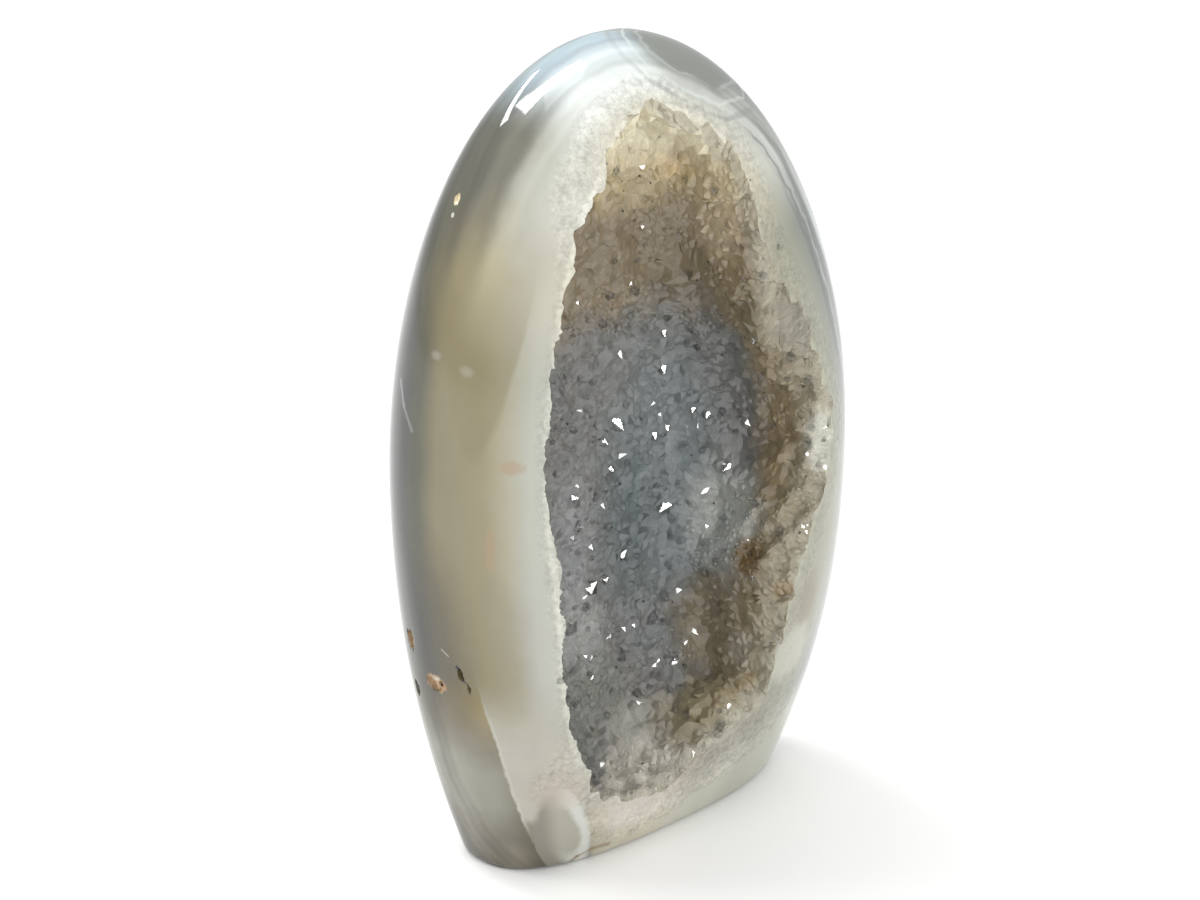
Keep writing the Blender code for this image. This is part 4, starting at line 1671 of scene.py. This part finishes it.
@dataclass(frozen=True)
class Stage:
    """The camera, the lights and a plain pale floor."""

    azimuth: float = -42.0
    elevation: float = 21.64
    distance: float = 0.400
    aim_height: float = 0.065
    focal_px: float = 2543.7
    picture_width: float = 1200.0
    aim_px: tuple[float, float] = (617.5, 436.4)
    centre_px: tuple[float, float] = (600.0, 450.0)
    light_distance: float = 1.0
    glint_place: tuple[float, float] = (5.0, 24.0)
    strips: tuple[Strip, ...] = (
        Strip("rear_strip_low", (173, 36), (-157, 36), 3.4, 16.0),
        Strip("rear_strip_high", (164, 64), (-158, 42), 9.0, 11.0),
        Strip("rear_softbox", (160, 76), (-148, 56), 16.0, 2.0),
        Strip("front_lamp", (0.5, 24), (9.5, 24), 9.0, 34.0),
        Strip("left_softbox", (-142, 38), (-118, 38), 18.0, 7.0, reflected=False),
    )

    def direction(self, azimuth: float, elevation: float) -> Vector:
        """Gives the direction from the stone towards a place round it."""
        a, e = math.radians(azimuth), math.radians(elevation)
        return Vector((math.sin(a) * math.cos(e), -math.cos(a) * math.cos(e), math.sin(e)))

    def add_camera(self) -> None:
        """Adds the camera at the picture's viewing angle."""
        data = bpy.data.cameras.new("camera")
        data.sensor_width = 36.0
        data.lens = self.focal_px / self.picture_width * data.sensor_width
        data.shift_x = (self.centre_px[0] - self.aim_px[0]) / self.picture_width
        data.shift_y = (self.aim_px[1] - self.centre_px[1]) / self.picture_width
        data.clip_start = 0.01
        camera = bpy.data.objects.new("camera", data)
        bpy.context.scene.collection.objects.link(camera)
        back = self.direction(self.azimuth, self.elevation)
        camera.location = Vector((0, 0, self.aim_height)) + back * self.distance
        camera.rotation_euler = back.to_track_quat("Z", "Y").to_euler()
        bpy.context.scene.camera = camera

    def add_strip(self, strip: Strip) -> None:
        """Adds a light between two directions, facing the stone."""
        first, last = (self.direction(*end) * self.light_distance for end in (strip.start, strip.end))
        centre = (first + last) / 2
        along = (last - first).normalized()
        back = centre.normalized()
        across = back.cross(along).normalized()
        data = bpy.data.lights.new(strip.name, "AREA")
        data.shape = "RECTANGLE"
        data.size = (last - first).length
        data.size_y = math.radians(strip.width) * self.light_distance
        data.energy = strip.radiance * math.pi * data.size * data.size_y
        light = bpy.data.objects.new(strip.name, data)
        bpy.context.scene.collection.objects.link(light)
        light.matrix_world = Matrix.LocRotScale(
            centre + Vector((0, 0, self.aim_height)),
            Matrix((along, across, along.cross(across))).transposed(),
            None,
        )
        light.visible_camera = False
        light.visible_glossy = strip.reflected

    def add_floor(self) -> None:
        """Adds the floor."""
        bpy.ops.object.select_all(action="DESELECT")
        bpy.ops.mesh.primitive_plane_add(size=8, location=(0, 0, 0))
        floor = bpy.context.object
        floor.name = "floor"
        floor.data.materials.append(FloorFinish().material())

    def add_world(self) -> None:
        """Adds an even surrounding light that is a little brighter overhead."""
        world = bpy.data.worlds.new("studio")
        bench = Bench(world)
        facing = bench.node("ShaderNodeTexCoord", {}, {}, "Generated")
        rise = bench.node("ShaderNodeSeparateXYZ", {}, {0: facing}, "Z").at_least(0.0)
        background = bench.node("ShaderNodeBackground", {}, {"Color": (1, 1, 1, 1), "Strength": rise * rise * 0.60 + 0.81})
        output = bench.tree.nodes.new("ShaderNodeOutputWorld")
        bench.tree.links.new(background.socket, output.inputs["Surface"])
        bpy.context.scene.world = world

    def build(self) -> None:
        """Builds the stage."""
        self.add_camera()
        self.add_world()
        self.add_floor()
        for strip in self.strips:
            self.add_strip(strip)
        bpy.context.scene.view_settings.view_transform = "Standard"


def write_size() -> None:
    """Brings the scene's placements up to date."""
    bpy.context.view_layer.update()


def report(obj: bpy.types.Object) -> None:
    """Reports a finished piece."""
    triangles = sum(len(polygon.vertices) - 2 for polygon in obj.data.polygons)
    LOG.info("%s: %d triangles", obj.name, triangles)


def main() -> None:
    """Builds every piece in order and reports it."""
    logging.basicConfig(level=logging.INFO, format="%(name)s: %(message)s")
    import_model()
    Stage().build()
    polish = PolishedFinish().material()
    report(PolishedAgate(polish).build())
    crust = QuartzCrust(polish).build()
    report(crust)
    report(QuartzPoints(crust).build())
    report(MineralSpecks(crust).build())
    write_size()


if __name__ == "__main__":
    main()
